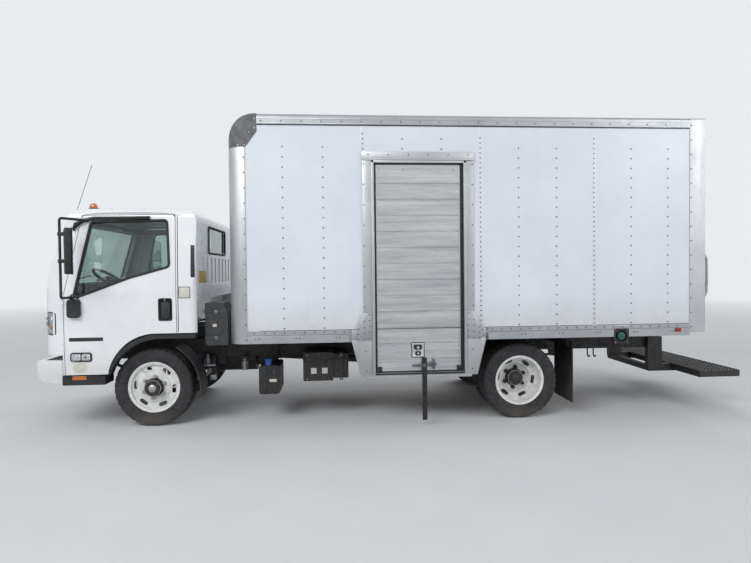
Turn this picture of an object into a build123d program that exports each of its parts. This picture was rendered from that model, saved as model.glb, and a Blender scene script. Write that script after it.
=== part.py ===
from build123d import *
from math import atan, cos, radians, sin, tan
import os

# Low-cab-forward box truck, in millimetres. The nose points to -X, the driver's side is -Y, +Z is up.
# The origin is on the ground, under the middle of the whole outline.
os.makedirs("parts", exist_ok=True)

# Driving dimensions of the chassis
wheelbase = 3810
front_overhang = 1170
box_behind_axle = 818
box_length = 4933
step_reach = 558
overall_length = front_overhang + box_behind_axle + box_length + step_reach
front_axle_x = -overall_length / 2 + front_overhang
rear_axle_x = front_axle_x + wheelbase
seat_gap = 0.3
swing_gap = 7
pin_play = 0.1

# Tyres and wheels
tyre_radius = 400
tyre_width = 226
bulge_radius = 345
shoulder = 22
bead_depth = 16
bead_radius = 248
flange_radius = 260
rim_width = 178
rim_wall = 9
lip_thickness = 5
disc_wall = 12
hub_radius = 82
lug_circle_radius = 111
lug_count = 6
lug_radius = 17
lug_height = 26
lug_start_angle = 23
cone_radius = 150
ring_radius = 164
drum_radius = 137
hub_cap_depth = 20
hand_hole_circle = 193
hand_hole_length = 92
hand_hole_width = 42
hole_start_angle = 7
front_track = 1666
rear_track = 1650
dual_spacing = 254
axle_z = tyre_radius
axle_tube_radius = 62
front_wheel_y = front_track / 2
dual_centre_y = rear_track / 2

# Frame rails
rail_setback = 23
frame_half_width = 425
frame_depth = 203
frame_flange = 65
frame_wall = 8
frame_top_z = 830
frame_bottom_z = frame_top_z - frame_depth
frame_inner_y = frame_half_width - frame_flange

# Cargo box
box_half_width = 1219
box_top_z = 3134
bottom_rail_z = 864
bottom_rail_height = 124
wall_thickness = 40
panel_inset = 6
top_rail_height = 104
roof_thickness = 34
corner_radius = 172
roof_nose_radius = 290
rear_post_width = 172
floor_thickness = 40
wall_bottom_z = bottom_rail_z + bottom_rail_height
wall_outer_y = box_half_width - panel_inset
wall_inner_y = wall_outer_y - wall_thickness
rail_inner_y = box_half_width - 49
floor_drop = 3
floor_bottom_z = wall_bottom_z - floor_drop - floor_thickness

# Side door, measured forward from the rear axle, with the frame and the step well round it
door_ahead_of_axle = 634
door_width = 909
door_sill_z = 545
door_header = 111
door_frame_proud = 6
door_frame_top_z = box_top_z - 369
door_opening_x = (rear_axle_x - door_ahead_of_axle - door_width, rear_axle_x - door_ahead_of_axle)
door_opening_z = (door_sill_z, door_frame_top_z - door_header)
door_frame_x = (door_opening_x[0] - 116, door_opening_x[1] + 102)
door_frame_outer_y = -box_half_width - door_frame_proud
well_x = (door_opening_x[0] - 148, door_opening_x[1] + 141)
well_inner_y = -(box_half_width - 419)
skirt_top_x = (well_x[0] - 88, well_x[1] + 82)
skirt_bottom_z = 512

# Cab
cab_half_width = 1032
cab_wall = 55
cab_skin_lean = 55
kingpin_y = 760


def behind(distance):
    """A place measured back from the front axle."""
    return front_axle_x + distance


box_front_x = behind(box_behind_axle)
box_rear_x = box_front_x + box_length
frame_front_x = behind(-960)
frame_rear_x = box_rear_x - rail_setback
rear_post_x = box_rear_x - rear_post_width
nose_line_x = box_front_x + corner_radius + 9
cap_line_x = box_front_x + roof_nose_radius + 9


def save(shape, name):
    """Labels a finished piece and writes it."""
    shape.label = name
    export_step(shape, f"parts/{name}.step")


def save_pair(shape, name):
    """Writes a left-hand piece and its mirror image."""
    save(shape, f"{name}_left")
    save(mirror(shape, about=Plane.XZ), f"{name}_right")


def across(y):
    """A side-view plane at the given Y, seen from the left: local x is X, local y is Z."""
    return Plane.XZ.offset(-y)


def slab(points, y_low, y_high, radius=0):
    """A side-view outline carried across from one Y to another."""
    with BuildPart() as piece:
        with BuildSketch(across(y_high)) as outline:
            with BuildLine():
                Polyline(*points, close=True)
            make_face()
            if radius:
                fillet(outline.vertices(), radius)
        extrude(amount=y_high - y_low)
    return piece.part


def block(x_range, y_range, z_range):
    """A plain block between two corners."""
    with BuildPart() as piece:
        with BuildSketch(Plane.XY.offset(z_range[0])):
            with Locations(((x_range[0] + x_range[1]) / 2, (y_range[0] + y_range[1]) / 2)):
                Rectangle(x_range[1] - x_range[0], y_range[1] - y_range[0])
        extrude(amount=z_range[1] - z_range[0])
    return piece.part


# Pivot on which the cab tilts forward
tilt_x = behind(-1000)
tilt_z = 730
tilt_pin_radius = 18
tilt_eye_radius = 29

# Frame rails: a C section with its back outwards, and a front horn with the eye of the cab's pivot
with BuildPart() as rail:
    with BuildSketch(Plane.YZ.offset(frame_front_x)):
        with Locations((-frame_half_width, frame_bottom_z)):
            Rectangle(frame_flange, frame_depth, align=(Align.MIN, Align.MIN))
        with Locations((-frame_half_width + frame_wall, frame_bottom_z + frame_wall)):
            Rectangle(
                frame_flange,
                frame_depth - 2 * frame_wall,
                align=(Align.MIN, Align.MIN),
                mode=Mode.SUBTRACT,
            )
    extrude(amount=frame_rear_x - frame_front_x)
    with BuildSketch(across(-frame_inner_y)):
        with BuildLine():
            Polyline(
                (tilt_x, tilt_z - tilt_eye_radius),
                (tilt_x, tilt_z + tilt_eye_radius),
                (tilt_x + 28, tilt_z + tilt_eye_radius),
                (frame_front_x, frame_top_z - 30),
                (frame_front_x, frame_bottom_z),
                close=True,
            )
        make_face()
        with Locations((tilt_x, tilt_z)):
            Circle(tilt_eye_radius)
            Circle(tilt_pin_radius + pin_play, mode=Mode.SUBTRACT)
    extrude(amount=frame_flange)
save_pair(rail.part, "frame_rail")

# Cross-members between the rails, by their places along the truck: one stands just ahead of the fuel tank
tank_x = (frame_rear_x - 1308, frame_rear_x - 308)
tank_member_gap = 75
cross_member_length = 90
cross_member_height = 120
cross_member_places = (
    behind(-850),
    behind(1250),
    behind(2150),
    rear_axle_x - 810,
    tank_x[0] - tank_member_gap - cross_member_length / 2,
    frame_rear_x - 168,
)
web_inner_y = frame_half_width - frame_wall
with BuildPart() as cross_members:
    with BuildSketch(Plane.XY.offset(frame_bottom_z + (frame_depth - cross_member_height) / 2)):
        for place in cross_member_places:
            with Locations((place, 0)):
                Rectangle(cross_member_length, 2 * web_inner_y)
    extrude(amount=cross_member_height)
save(cross_members.part, "frame_crossmembers")

# Engine as one plain block on its mounts, with the gearbox behind it
engine_front_x = behind(-280)
engine_rear_x = behind(460)
engine_half_width = 290
engine_bottom_z = 470
engine_top_z = 960
crank_z = 600
gearbox_rear_x = behind(1130)
with BuildPart() as engine:
    engine_y = (-engine_half_width, engine_half_width)
    add(block((engine_front_x, engine_rear_x), engine_y, (engine_bottom_z, engine_top_z)))
    mount_y = frame_inner_y - seat_gap
    add(block((behind(-60), behind(60)), (-mount_y, mount_y), (640, 700)))
    with BuildSketch(Plane.YZ.offset(engine_rear_x)):
        with Locations((0, crank_z)):
            Circle(210)
    extrude(amount=70)
    with BuildSketch(Plane.YZ.offset(engine_rear_x + 70)) as bell:
        with Locations((0, crank_z)):
            Circle(200)
    with BuildSketch(Plane.YZ.offset(engine_rear_x + 270)) as neck:
        with Locations((0, crank_z - 20)):
            Circle(125)
    loft([bell.sketch, neck.sketch])
    with BuildSketch(Plane.YZ.offset(engine_rear_x + 270)):
        with Locations((0, crank_z - 20)):
            Circle(120)
    extrude(amount=gearbox_rear_x - engine_rear_x - 270)
save(engine.part, "engine_block")

# Front axle: a dropped I-beam with kingpin eyes at its ends
kingpin_radius = 20
eye_radius = 44
eye_half_height = 46
beam_drop = 60
beam_half_length = 44
beam_height = 84
spring_y = frame_half_width - frame_flange / 2
spring_width = 64
with BuildPart() as front_axle:
    with BuildSketch(Plane.YZ.offset(front_axle_x - beam_half_length)):
        with BuildLine():
            Polyline(
                (0, axle_z - beam_drop - beam_height / 2),
                (-520, axle_z - beam_drop - beam_height / 2),
                (-640, axle_z - beam_height / 2),
                (-kingpin_y, axle_z - beam_height / 2),
                (-kingpin_y, axle_z + beam_height / 2),
                (-620, axle_z + beam_height / 2),
                (-500, axle_z - beam_drop + beam_height / 2),
                (0, axle_z - beam_drop + beam_height / 2),
                close=True,
            )
        make_face()
    extrude(amount=2 * beam_half_length)
    with BuildSketch(Plane.XY.offset(axle_z - eye_half_height)):
        with Locations((front_axle_x, -kingpin_y)):
            Circle(eye_radius)
    extrude(amount=2 * eye_half_height)
    with BuildSketch(Plane.XY.offset(axle_z - eye_half_height)):
        with Locations((front_axle_x, -kingpin_y)):
            Circle(kingpin_radius + pin_play)
    extrude(amount=2 * eye_half_height, mode=Mode.SUBTRACT)
    mirror(about=Plane.XZ)
save(front_axle.part, "front_axle_beam")

# Leaf springs: half length, eye height above the seat and number of leaves
leaf_thickness = 15


def leaf_spring(axle_x, seat_z, half_length, rise, leaves):
    """A leaf pack with its eyes and the hangers that carry it under the left rail."""
    radius = (half_length**2 + rise**2) / (2 * rise)
    with BuildPart() as spring:
        with BuildSketch(across(-spring_y + spring_width / 2)):
            for leaf in range(leaves):
                reach = half_length * (leaf + 1) / leaves
                drop = radius - (radius**2 - reach**2) ** 0.5
                base = seat_z + leaf * leaf_thickness
                with BuildLine():
                    low = ThreePointArc(
                        (axle_x - reach, base + drop),
                        (axle_x, base),
                        (axle_x + reach, base + drop),
                    )
                    high = ThreePointArc(
                        (axle_x - reach, base + drop + leaf_thickness),
                        (axle_x, base + leaf_thickness),
                        (axle_x + reach, base + drop + leaf_thickness),
                    )
                    Line(low @ 0, high @ 0)
                    Line(low @ 1, high @ 1)
                make_face()
            eye_z = seat_z + (leaves - 0.5) * leaf_thickness + rise
            for end in (-1, 1):
                with BuildLine():
                    Polyline(
                        (axle_x + end * (half_length - 26), eye_z - 24),
                        (axle_x + end * (half_length + 26), eye_z - 24),
                        (axle_x + end * (half_length + 44), frame_bottom_z),
                        (axle_x + end * (half_length - 44), frame_bottom_z),
                        close=True,
                    )
                make_face()
        extrude(amount=spring_width)
        mirror(about=Plane.XZ)
    return spring.part


beam_top_z = axle_z - beam_drop + beam_height / 2
with BuildPart() as springs:
    add(leaf_spring(front_axle_x, beam_top_z, 590, 150, 3))
    add(leaf_spring(rear_axle_x, axle_z + axle_tube_radius, 620, 60, 4))
save(springs.part, "leaf_springs")

# Rear axle: tube, banjo bowl, pinion nose and spindles
spindle_radius = 42
bowl_radius = 185
pinion_reach = 330
pinion_radius = 58
bowl_flat = 76
axle_tube_end_y = 540
spindle_end_y = 870
with BuildPart() as rear_axle:
    with BuildSketch(Plane.XY.offset(axle_z)):
        with BuildLine():
            Polyline(
                (rear_axle_x, -spindle_end_y),
                (rear_axle_x + spindle_radius, -spindle_end_y),
                (rear_axle_x + spindle_radius, -axle_tube_end_y),
                (rear_axle_x + axle_tube_radius, -axle_tube_end_y),
                (rear_axle_x + axle_tube_radius, -bowl_radius),
                (rear_axle_x + bowl_radius, -bowl_flat),
                (rear_axle_x + bowl_radius, bowl_flat),
                (rear_axle_x + axle_tube_radius, bowl_radius),
                (rear_axle_x + axle_tube_radius, axle_tube_end_y),
                (rear_axle_x + spindle_radius, axle_tube_end_y),
                (rear_axle_x + spindle_radius, spindle_end_y),
                (rear_axle_x, spindle_end_y),
                close=True,
            )
        make_face()
    revolve(axis=Axis((rear_axle_x, 0, axle_z), (0, 1, 0)))
    with BuildSketch(Plane.YZ.offset(rear_axle_x - pinion_reach)):
        with Locations((0, axle_z)):
            Circle(pinion_radius)
    extrude(amount=pinion_reach - bowl_radius / 2)
save(rear_axle.part, "rear_axle")

# Driveshaft between the gearbox and the pinion
shaft_start = Vector(gearbox_rear_x, 0, crank_z - 20)
shaft_end = Vector(rear_axle_x - pinion_reach, 0, axle_z)
shaft_run = shaft_end - shaft_start
with BuildPart() as driveshaft:
    with BuildSketch(Plane(origin=shaft_start + shaft_run.normalized() * 60, z_dir=shaft_run)):
        Circle(45)
    extrude(amount=shaft_run.length - 120)
    for start, toward in ((shaft_start, 1), (shaft_end, -1)):
        with BuildSketch(Plane(origin=start, z_dir=(toward, 0, 0))):
            Circle(56)
        extrude(amount=95)
save(driveshaft.part, "driveshaft")


# Wheels: profiles are given as distance outboard of the rim's middle plane, and radius
def tyre_solid(x, y):
    """A tyre around the axle line at x, its middle plane at y."""
    half = tyre_width / 2
    with BuildPart() as tyre:
        with BuildSketch(Plane.XY.offset(axle_z)):
            with BuildLine():
                Polyline(
                    (x + bead_radius, y - rim_width / 2 + bead_depth),
                    (x + flange_radius, y - rim_width / 2),
                    (x + bulge_radius, y - half),
                    (x + tyre_radius, y - half + shoulder),
                    (x + tyre_radius, y + half - shoulder),
                    (x + bulge_radius, y + half),
                    (x + flange_radius, y + rim_width / 2),
                    (x + bead_radius, y + rim_width / 2 - bead_depth),
                    close=True,
                )
            make_face()
        revolve(axis=Axis((x, 0, axle_z), (0, 1, 0)))
    return tyre.part


def barrel_outline(x, y):
    """Section of a rim's barrel: lips outside the tyre's beads and seats under them."""
    half = rim_width / 2
    lip = x + flange_radius - seat_gap
    seat = x + bead_radius - seat_gap
    return (
        (lip, y - half - lip_thickness),
        (lip, y - half - seat_gap),
        (seat, y - half + bead_depth),
        (seat, y + half - bead_depth),
        (lip, y + half + seat_gap),
        (lip, y + half + lip_thickness),
        (seat - rim_wall, y + half - rim_wall),
        (seat - rim_wall, y - half + rim_wall),
    )


def rim_solid(x, y, disc_y, ring_y, hub_y, bore_radius):
    """A left-hand rim and disc at x, with its hub and lugs: outboard is -Y, hub_y its outer and inner end."""
    barrel_bore = x + bead_radius - seat_gap - rim_wall
    with BuildPart() as rim:
        with BuildSketch(Plane.XY.offset(axle_z)):
            with BuildLine():
                Polyline(*barrel_outline(x, y), close=True)
            make_face()
            with BuildLine():
                Polyline(
                    (x + bore_radius, hub_y[1]),
                    (x + drum_radius, hub_y[1]),
                    (x + drum_radius, disc_y + disc_wall),
                    (x + cone_radius, disc_y + disc_wall),
                    (x + ring_radius, ring_y + disc_wall),
                    (barrel_bore + rim_wall / 2, ring_y + disc_wall),
                    (barrel_bore + rim_wall / 2, ring_y),
                    (x + ring_radius, ring_y),
                    (x + cone_radius, disc_y),
                    (x + hub_radius, disc_y),
                    (x + hub_radius, hub_y[0]),
                    (x, hub_y[0]),
                    (x, hub_y[0] + hub_cap_depth),
                    (x + bore_radius, hub_y[0] + hub_cap_depth),
                    close=True,
                )
            make_face()
        revolve(axis=Axis((x, 0, axle_z), (0, 1, 0)))
        with BuildSketch(Plane(origin=(x, disc_y, axle_z), x_dir=(1, 0, 0), z_dir=(0, -1, 0))):
            with PolarLocations(lug_circle_radius, lug_count, start_angle=lug_start_angle):
                RegularPolygon(lug_radius, lug_count)
        extrude(amount=lug_height)
        with BuildSketch(Plane(origin=(x, ring_y - disc_wall, axle_z), x_dir=(1, 0, 0), z_dir=(0, 1, 0))):
            with PolarLocations(hand_hole_circle, lug_count, start_angle=hole_start_angle):
                SlotOverall(hand_hole_length, hand_hole_width, rotation=90)
        extrude(amount=3 * disc_wall, mode=Mode.SUBTRACT)
    return rim.part


knuckle_spindle_radius = 36
front_disc_y = -front_wheel_y - rim_width / 2 + 12
front_ring_y = front_disc_y + 18
front_hub_y = (front_disc_y - 70, -kingpin_y - 62)
save_pair(tyre_solid(front_axle_x, -front_wheel_y), "front_tyre")
save_pair(
    rim_solid(
        front_axle_x,
        -front_wheel_y,
        front_disc_y,
        front_ring_y,
        front_hub_y,
        knuckle_spindle_radius + pin_play,
    ),
    "front_rim",
)

outer_dual_y = -dual_centre_y - dual_spacing / 2
inner_dual_y = -dual_centre_y + dual_spacing / 2
rear_disc_y = outer_dual_y + 100
rear_ring_y = rear_disc_y - 45
rear_hub_y = (rear_disc_y - 60, inner_dual_y + rim_width / 2)
inner_web_y = inner_dual_y - rim_width / 2 + 20
with BuildPart() as dual_tyres:
    add(tyre_solid(rear_axle_x, outer_dual_y))
    add(tyre_solid(rear_axle_x, inner_dual_y))
save_pair(dual_tyres.part, "rear_tyres")
with BuildPart() as dual_rims:
    add(rim_solid(rear_axle_x, outer_dual_y, rear_disc_y, rear_ring_y, rear_hub_y, spindle_radius + pin_play))
    with BuildSketch(Plane.XY.offset(axle_z)):
        with BuildLine():
            Polyline(*barrel_outline(rear_axle_x, inner_dual_y), close=True)
        make_face()
        with Locations((rear_axle_x + drum_radius - 5, inner_web_y)):
            Rectangle(bead_radius - drum_radius, disc_wall, align=(Align.MIN, Align.MIN))
    revolve(axis=Axis((rear_axle_x, 0, axle_z), (0, 1, 0)))
save_pair(dual_rims.part, "rear_rims")

# Steering knuckle: a yoke round the axle's eye, the spindle outboard and an arm behind
yoke_gap = 2
yoke_ear = 26
yoke_back = 14
yoke_half = eye_half_height + yoke_gap + yoke_ear
back_y = -kingpin_y - eye_radius - 3
arm_reach = 150
tie_pin_length = 44
tie_pin_radius = 12
tie_eye_radius = 20
with BuildPart() as knuckle:
    for low in (axle_z - yoke_half, axle_z + yoke_half - yoke_ear):
        with BuildSketch(Plane.XY.offset(low)):
            with Locations((front_axle_x, -kingpin_y)):
                Circle(eye_radius)
            with Locations((front_axle_x, back_y - yoke_back)):
                Rectangle(2 * eye_radius, eye_radius + yoke_back, align=(Align.CENTER, Align.MIN))
        extrude(amount=yoke_ear)
    add(
        block(
            (front_axle_x - eye_radius, front_axle_x + eye_radius),
            (back_y - yoke_back, back_y),
            (axle_z - yoke_half, axle_z + yoke_half),
        )
    )
    with BuildSketch(Plane.XY.offset(axle_z - yoke_half)):
        with Locations((front_axle_x, -kingpin_y)):
            Circle(kingpin_radius)
    extrude(amount=2 * yoke_half)
    with BuildSketch(Plane(origin=(front_axle_x, back_y, axle_z), x_dir=(1, 0, 0), z_dir=(0, -1, 0))):
        Circle(knuckle_spindle_radius)
    extrude(amount=front_wheel_y - kingpin_y + 60)
    with BuildSketch(Plane.XY.offset(axle_z - yoke_half)):
        with Locations((front_axle_x, -kingpin_y)):
            Rectangle(arm_reach, 2 * tie_eye_radius - 4, align=(Align.MIN, Align.CENTER))
        with Locations((front_axle_x + arm_reach, -kingpin_y)):
            Circle(tie_eye_radius)
    extrude(amount=yoke_ear)
    with BuildSketch(Plane.XY.offset(axle_z - yoke_half - tie_pin_length)):
        with Locations((front_axle_x + arm_reach, -kingpin_y)):
            Circle(tie_pin_radius)
    extrude(amount=tie_pin_length)
save_pair(knuckle.part, "knuckle")

# Tie rod under the two steering arms
tie_rod_z = axle_z - yoke_half - tie_pin_length / 2 - 3
tie_rod_radius = 14
tie_eye_half = 16
with BuildPart() as tie_rod:
    with BuildSketch(Plane.XZ.offset(-kingpin_y + tie_pin_radius)):
        with Locations((front_axle_x + arm_reach, tie_rod_z)):
            Circle(tie_rod_radius)
    extrude(amount=2 * (kingpin_y - tie_pin_radius))
    for side in (-1, 1):
        with BuildSketch(Plane.XY.offset(tie_rod_z - tie_eye_half)):
            with Locations((front_axle_x + arm_reach, side * kingpin_y)):
                Circle(tie_eye_radius)
        extrude(amount=2 * tie_eye_half)
    for side in (-1, 1):
        with BuildSketch(Plane.XY.offset(tie_rod_z - tie_eye_half)):
            with Locations((front_axle_x + arm_reach, side * kingpin_y)):
                Circle(tie_pin_radius + pin_play)
        extrude(amount=2 * tie_eye_half, mode=Mode.SUBTRACT)
save(tie_rod.part, "tie_rod")

# Front bumper: a moulded shell that wraps round both corners
bumper_front_x = -overall_length / 2
bumper_half_width = 1010
bumper_wall = 50
bumper_rear_x = behind(-860)
intake_half_width = 430
intake_z = (566, 622)
fog_lamp_y = 700
fog_lamp_z = 606
fog_recess_radius = 58
fog_recess_depth = 34


def bumper_form(inset):
    """The bumper's outer form, moved inwards by the inset."""
    with BuildPart() as form:
        with BuildSketch(Plane.XZ):
            with BuildLine():
                Polyline(
                    (bumper_front_x, 600),
                    (bumper_front_x + 6, 694),
                    (bumper_front_x + 60, 706),
                    (bumper_rear_x + 400, 706),
                    (bumper_rear_x + 400, 474),
                    (bumper_front_x + 260, 474),
                    (bumper_front_x + 120, 500),
                    (bumper_front_x + 34, 550),
                    close=True,
                )
            make_face()
            if inset:
                offset(amount=-inset, kind=Kind.INTERSECTION)
        extrude(amount=bumper_half_width + 50, both=True)
        with BuildSketch(Plane.XY) as plan:
            with Locations((bumper_front_x + inset, 0)):
                Rectangle(900, 2 * (bumper_half_width - inset), align=(Align.MIN, Align.CENTER))
            fillet(plan.vertices().group_by(Axis.X)[0], 150 - inset)
        extrude(amount=1000, mode=Mode.INTERSECT)
    return form.part


bumper_outer = bumper_form(0)
bumper_inner = bumper_form(bumper_wall)
with BuildPart() as bumper:
    add(bumper_outer)
    add(bumper_inner, mode=Mode.SUBTRACT)
    add(block((bumper_front_x + bumper_wall + 60, behind(0)), (-940, 940), (650, 800)), mode=Mode.SUBTRACT)
    add(block((bumper_front_x + bumper_wall + 140, behind(0)), (-940, 940), (400, 560)), mode=Mode.SUBTRACT)
    add(block((bumper_rear_x, behind(0)), (-1100, 1100), (300, 900)), mode=Mode.SUBTRACT)
    intake_y = (-intake_half_width, intake_half_width)
    add(block((bumper_front_x - 5, bumper_front_x + 90), intake_y, intake_z), mode=Mode.SUBTRACT)
    with BuildSketch(Plane.YZ.offset(bumper_front_x - 5)):
        with Locations((-fog_lamp_y, fog_lamp_z), (fog_lamp_y, fog_lamp_z)):
            Circle(fog_recess_radius)
    extrude(amount=fog_recess_depth + 5, mode=Mode.SUBTRACT)
save(bumper.part, "front_bumper")

# Step under each door, behind the bumper's end, on a bracket from the rail
step_front_x = bumper_rear_x + seat_gap
step_rear_x = behind(-448)
step_outer_y = -1020
step_inner_y = -800
step_z = (459, 552)
step_bracket_x = (behind(-760), behind(-640))
step_bracket_z = (480, 540)
step_plate_y = (-frame_half_width - 12, -frame_half_width - seat_gap)
with BuildPart() as steps:
    add(block((step_front_x, step_rear_x), (step_outer_y, step_inner_y), step_z))
    add(block(step_bracket_x, (step_inner_y, step_plate_y[1]), step_bracket_z))
    add(block(step_bracket_x, step_plate_y, (step_bracket_z[1], frame_top_z - 50)))
    mirror(about=Plane.XZ)
save(steps.part, "front_steps")

# Guards: curved ones behind the front wheels and flat flaps behind the rear ones
guard_radius = 480
guard_thickness = 12
guard_inner_y = -720
guard_bracket_z = (640, 690)
guard_bracket_x = behind((guard_radius**2 - (sum(guard_bracket_z) / 2 - axle_z) ** 2) ** 0.5)
flap_x = rear_axle_x + 565
bracket_seat_y = -frame_half_width - seat_gap
with BuildPart() as guards:
    with BuildSketch(across(guard_inner_y)):
        with BuildLine():
            inner_arc = CenterArc((front_axle_x, axle_z), guard_radius, -12, 72)
            outer_arc = CenterArc((front_axle_x, axle_z), guard_radius + guard_thickness, -12, 72)
            Line(inner_arc @ 0, outer_arc @ 0)
            Line(inner_arc @ 1, outer_arc @ 1)
        make_face()
    extrude(amount=290)
    bracket_x = (guard_bracket_x - 10, guard_bracket_x + 30)
    add(block(bracket_x, (guard_inner_y, bracket_seat_y), guard_bracket_z))
    add(block((flap_x, flap_x + 12), (-1060, -590), (150, 800)))
    add(block((flap_x - 30, flap_x), (-1000, bracket_seat_y), (740, 800)))
    mirror(about=Plane.XZ)
save(guards.part, "mudguards")

# Tanks and boxes on the left rail
box_on_rail_y = -900
battery_x = (well_x[0] - 595, well_x[0] - 279, well_x[0] - 117)
def_x = (battery_x[0] - 462, battery_x[0] - 244)
def_top_z = 590
with BuildPart() as air_cleaner:
    add(
        slab(
            (
                (behind(520), 818),
                (behind(752), 818),
                (behind(752), 1165),
                (behind(700), 1262),
                (behind(520), 1262),
            ),
            box_on_rail_y,
            -560,
            20,
        )
    )
    add(block((behind(580), behind(680)), (-560, -frame_half_width + 5), (frame_top_z, frame_top_z + 60)))
save(air_cleaner.part, "air_cleaner")

with BuildPart() as def_tank:
    def_outline = ((def_x[0], 292), (def_x[1], 292), (def_x[1], def_top_z), (def_x[0], def_top_z))
    add(slab(def_outline, box_on_rail_y, -480, 24))
    add(block((def_x[0] + 58, def_x[1] - 60), (-480, bracket_seat_y), (480, 760)))
    with BuildSketch(Plane.XY.offset(def_top_z)):
        with Locations((def_x[0] + 93, box_on_rail_y + 50)):
            Circle(34)
    extrude(amount=52)
save(def_tank.part, "def_tank")

with BuildPart() as battery_box:
    for front_x, rear_x, low_z, top_z, outer_y in (
        (battery_x[0], battery_x[1], 418, 720, box_on_rail_y),
        (battery_x[1] - 2, battery_x[2], 443, 700, box_on_rail_y + 10),
    ):
        lid_outline = ((front_x, low_z), (rear_x, low_z), (rear_x, top_z), (front_x, top_z))
        add(slab(lid_outline, outer_y, -500, 14))
    add(block((battery_x[0] + 96, battery_x[2] - 102), (-502, bracket_seat_y), (560, 690)))
save(battery_box.part, "battery_box")

# Fuel tank between the rails, on straps that lie on their lower flanges
tank_z = (frame_bottom_z + 13, frame_bottom_z + 179)
tank_strap_width = 60
tank_half_width = frame_inner_y - seat_gap
with BuildPart() as fuel_tank:
    add(block(tank_x, (-tank_half_width, tank_half_width), tank_z))
    fillet(fuel_tank.edges().filter_by(Axis.X), 40)
    strap_half_width = web_inner_y - seat_gap
    strap_z = (frame_bottom_z + frame_wall + seat_gap, tank_z[0] + 12)
    for middle_x in (tank_x[0] + 200, tank_x[1] - 200):
        strap_across_x = (middle_x - tank_strap_width / 2, middle_x + tank_strap_width / 2)
        add(block(strap_across_x, (-strap_half_width, strap_half_width), strap_z))
save(fuel_tank.part, "fuel_tank")

# Fuel filler in a notch of the left bottom rail: a dished plate with the cap in it
filler_x = (box_rear_x - 995, box_rear_x - 834)
filler_z = (bottom_rail_z - 74, bottom_rail_z + 86)
filler_face_y = -box_half_width + 2
filler_dish_depth = 30
filler_centre = (sum(filler_x) / 2, filler_face_y, sum(filler_z) / 2 + 2)
filler_floor = (filler_centre[0], filler_face_y + filler_dish_depth, filler_centre[2])
with BuildPart() as filler:
    add(block(filler_x, (filler_face_y, -rail_inner_y), filler_z))
    with BuildSketch(Plane(origin=filler_centre, x_dir=(1, 0, 0), z_dir=(0, 1, 0))):
        Circle(60)
    extrude(amount=filler_dish_depth, mode=Mode.SUBTRACT)
    with BuildSketch(Plane(origin=filler_floor, x_dir=(1, 0, 0), z_dir=(0, -1, 0))):
        Circle(42)
    extrude(amount=24)
save(filler.part, "fuel_filler")

# Silencer and tail pipe on the right
with BuildPart() as exhaust:
    with BuildSketch(Plane.YZ.offset(behind(1350))):
        with Locations((640, 560)):
            Circle(140)
    extrude(amount=850)
    with BuildSketch(Plane.YZ.offset(behind(1150))):
        with Locations((600, 600)):
            Circle(45)
    extrude(amount=220)
    with BuildSketch(Plane.YZ.offset(behind(2190))):
        with Locations((600, 560)):
            Circle(45)
    extrude(amount=360)
    for place in (1500, 2000):
        add(block((behind(place), behind(place + 60)), (frame_half_width + seat_gap, 560), (600, 760)))
save(exhaust.part, "exhaust")


def box_form(inset):
    """The cargo box's front form with its round corners and round roof edge, moved inwards by the inset."""
    with BuildPart() as form:
        with BuildSketch(Plane.XZ) as side:
            with Locations((box_front_x + inset, 0)):
                Rectangle(box_length + 500, box_top_z - inset, align=(Align.MIN, Align.MIN))
            fillet(side.vertices().group_by(Axis.Y)[-1].sort_by(Axis.X)[0], roof_nose_radius - inset)
        extrude(amount=box_half_width, both=True)
        with BuildSketch(Plane.XY) as plan:
            with Locations((box_front_x + inset, 0)):
                Rectangle(box_length + 500, 2 * (box_half_width - inset), align=(Align.MIN, Align.CENTER))
            fillet(plan.vertices().group_by(Axis.X)[0], corner_radius - inset)
        extrude(amount=box_top_z, mode=Mode.INTERSECT)
    return form.part


# Underframe of the cargo box: long sills on the frame rails and cross sills on them
cross_sill_pitch = 406
cross_sill_width = 45
first_sill_x = box_front_x + 70
sill_count = int((rear_post_x - first_sill_x) / cross_sill_pitch) + 1
long_sill_x = (box_front_x + 60, rear_post_x)
inside_nose = box_form(wall_thickness + seat_gap)
with BuildPart() as underframe:
    add(block(long_sill_x, (-frame_half_width, -frame_inner_y), (frame_top_z, bottom_rail_z)))
    add(block(long_sill_x, (frame_inner_y, frame_half_width), (frame_top_z, bottom_rail_z)))
    with BuildSketch(Plane.XY.offset(bottom_rail_z)):
        for index in range(sill_count):
            sill_x = first_sill_x + index * cross_sill_pitch
            beside_well = well_x[0] - 60 < sill_x < well_x[1] + 60
            low_y = well_inner_y + 2 if beside_well else -rail_inner_y
            with Locations((sill_x, (low_y + rail_inner_y) / 2)):
                Rectangle(cross_sill_width, rail_inner_y - low_y)
    extrude(amount=floor_bottom_z - bottom_rail_z)
    add(inside_nose, mode=Mode.INTERSECT)
save(underframe.part, "box_underframe")

# Floor with a notch for the step well
floor_x = (box_front_x + wall_thickness + 2, rear_post_x)
floor_z = (floor_bottom_z, wall_bottom_z - floor_drop)
with BuildPart() as floor:
    add(block(floor_x, (-rail_inner_y, rail_inner_y), floor_z))
    notch_z = (floor_bottom_z - 5, wall_bottom_z)
    add(block(well_x, (-rail_inner_y, well_inner_y), notch_z), mode=Mode.SUBTRACT)
    add(inside_nose, mode=Mode.INTERSECT)
save(floor.part, "box_floor")


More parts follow.
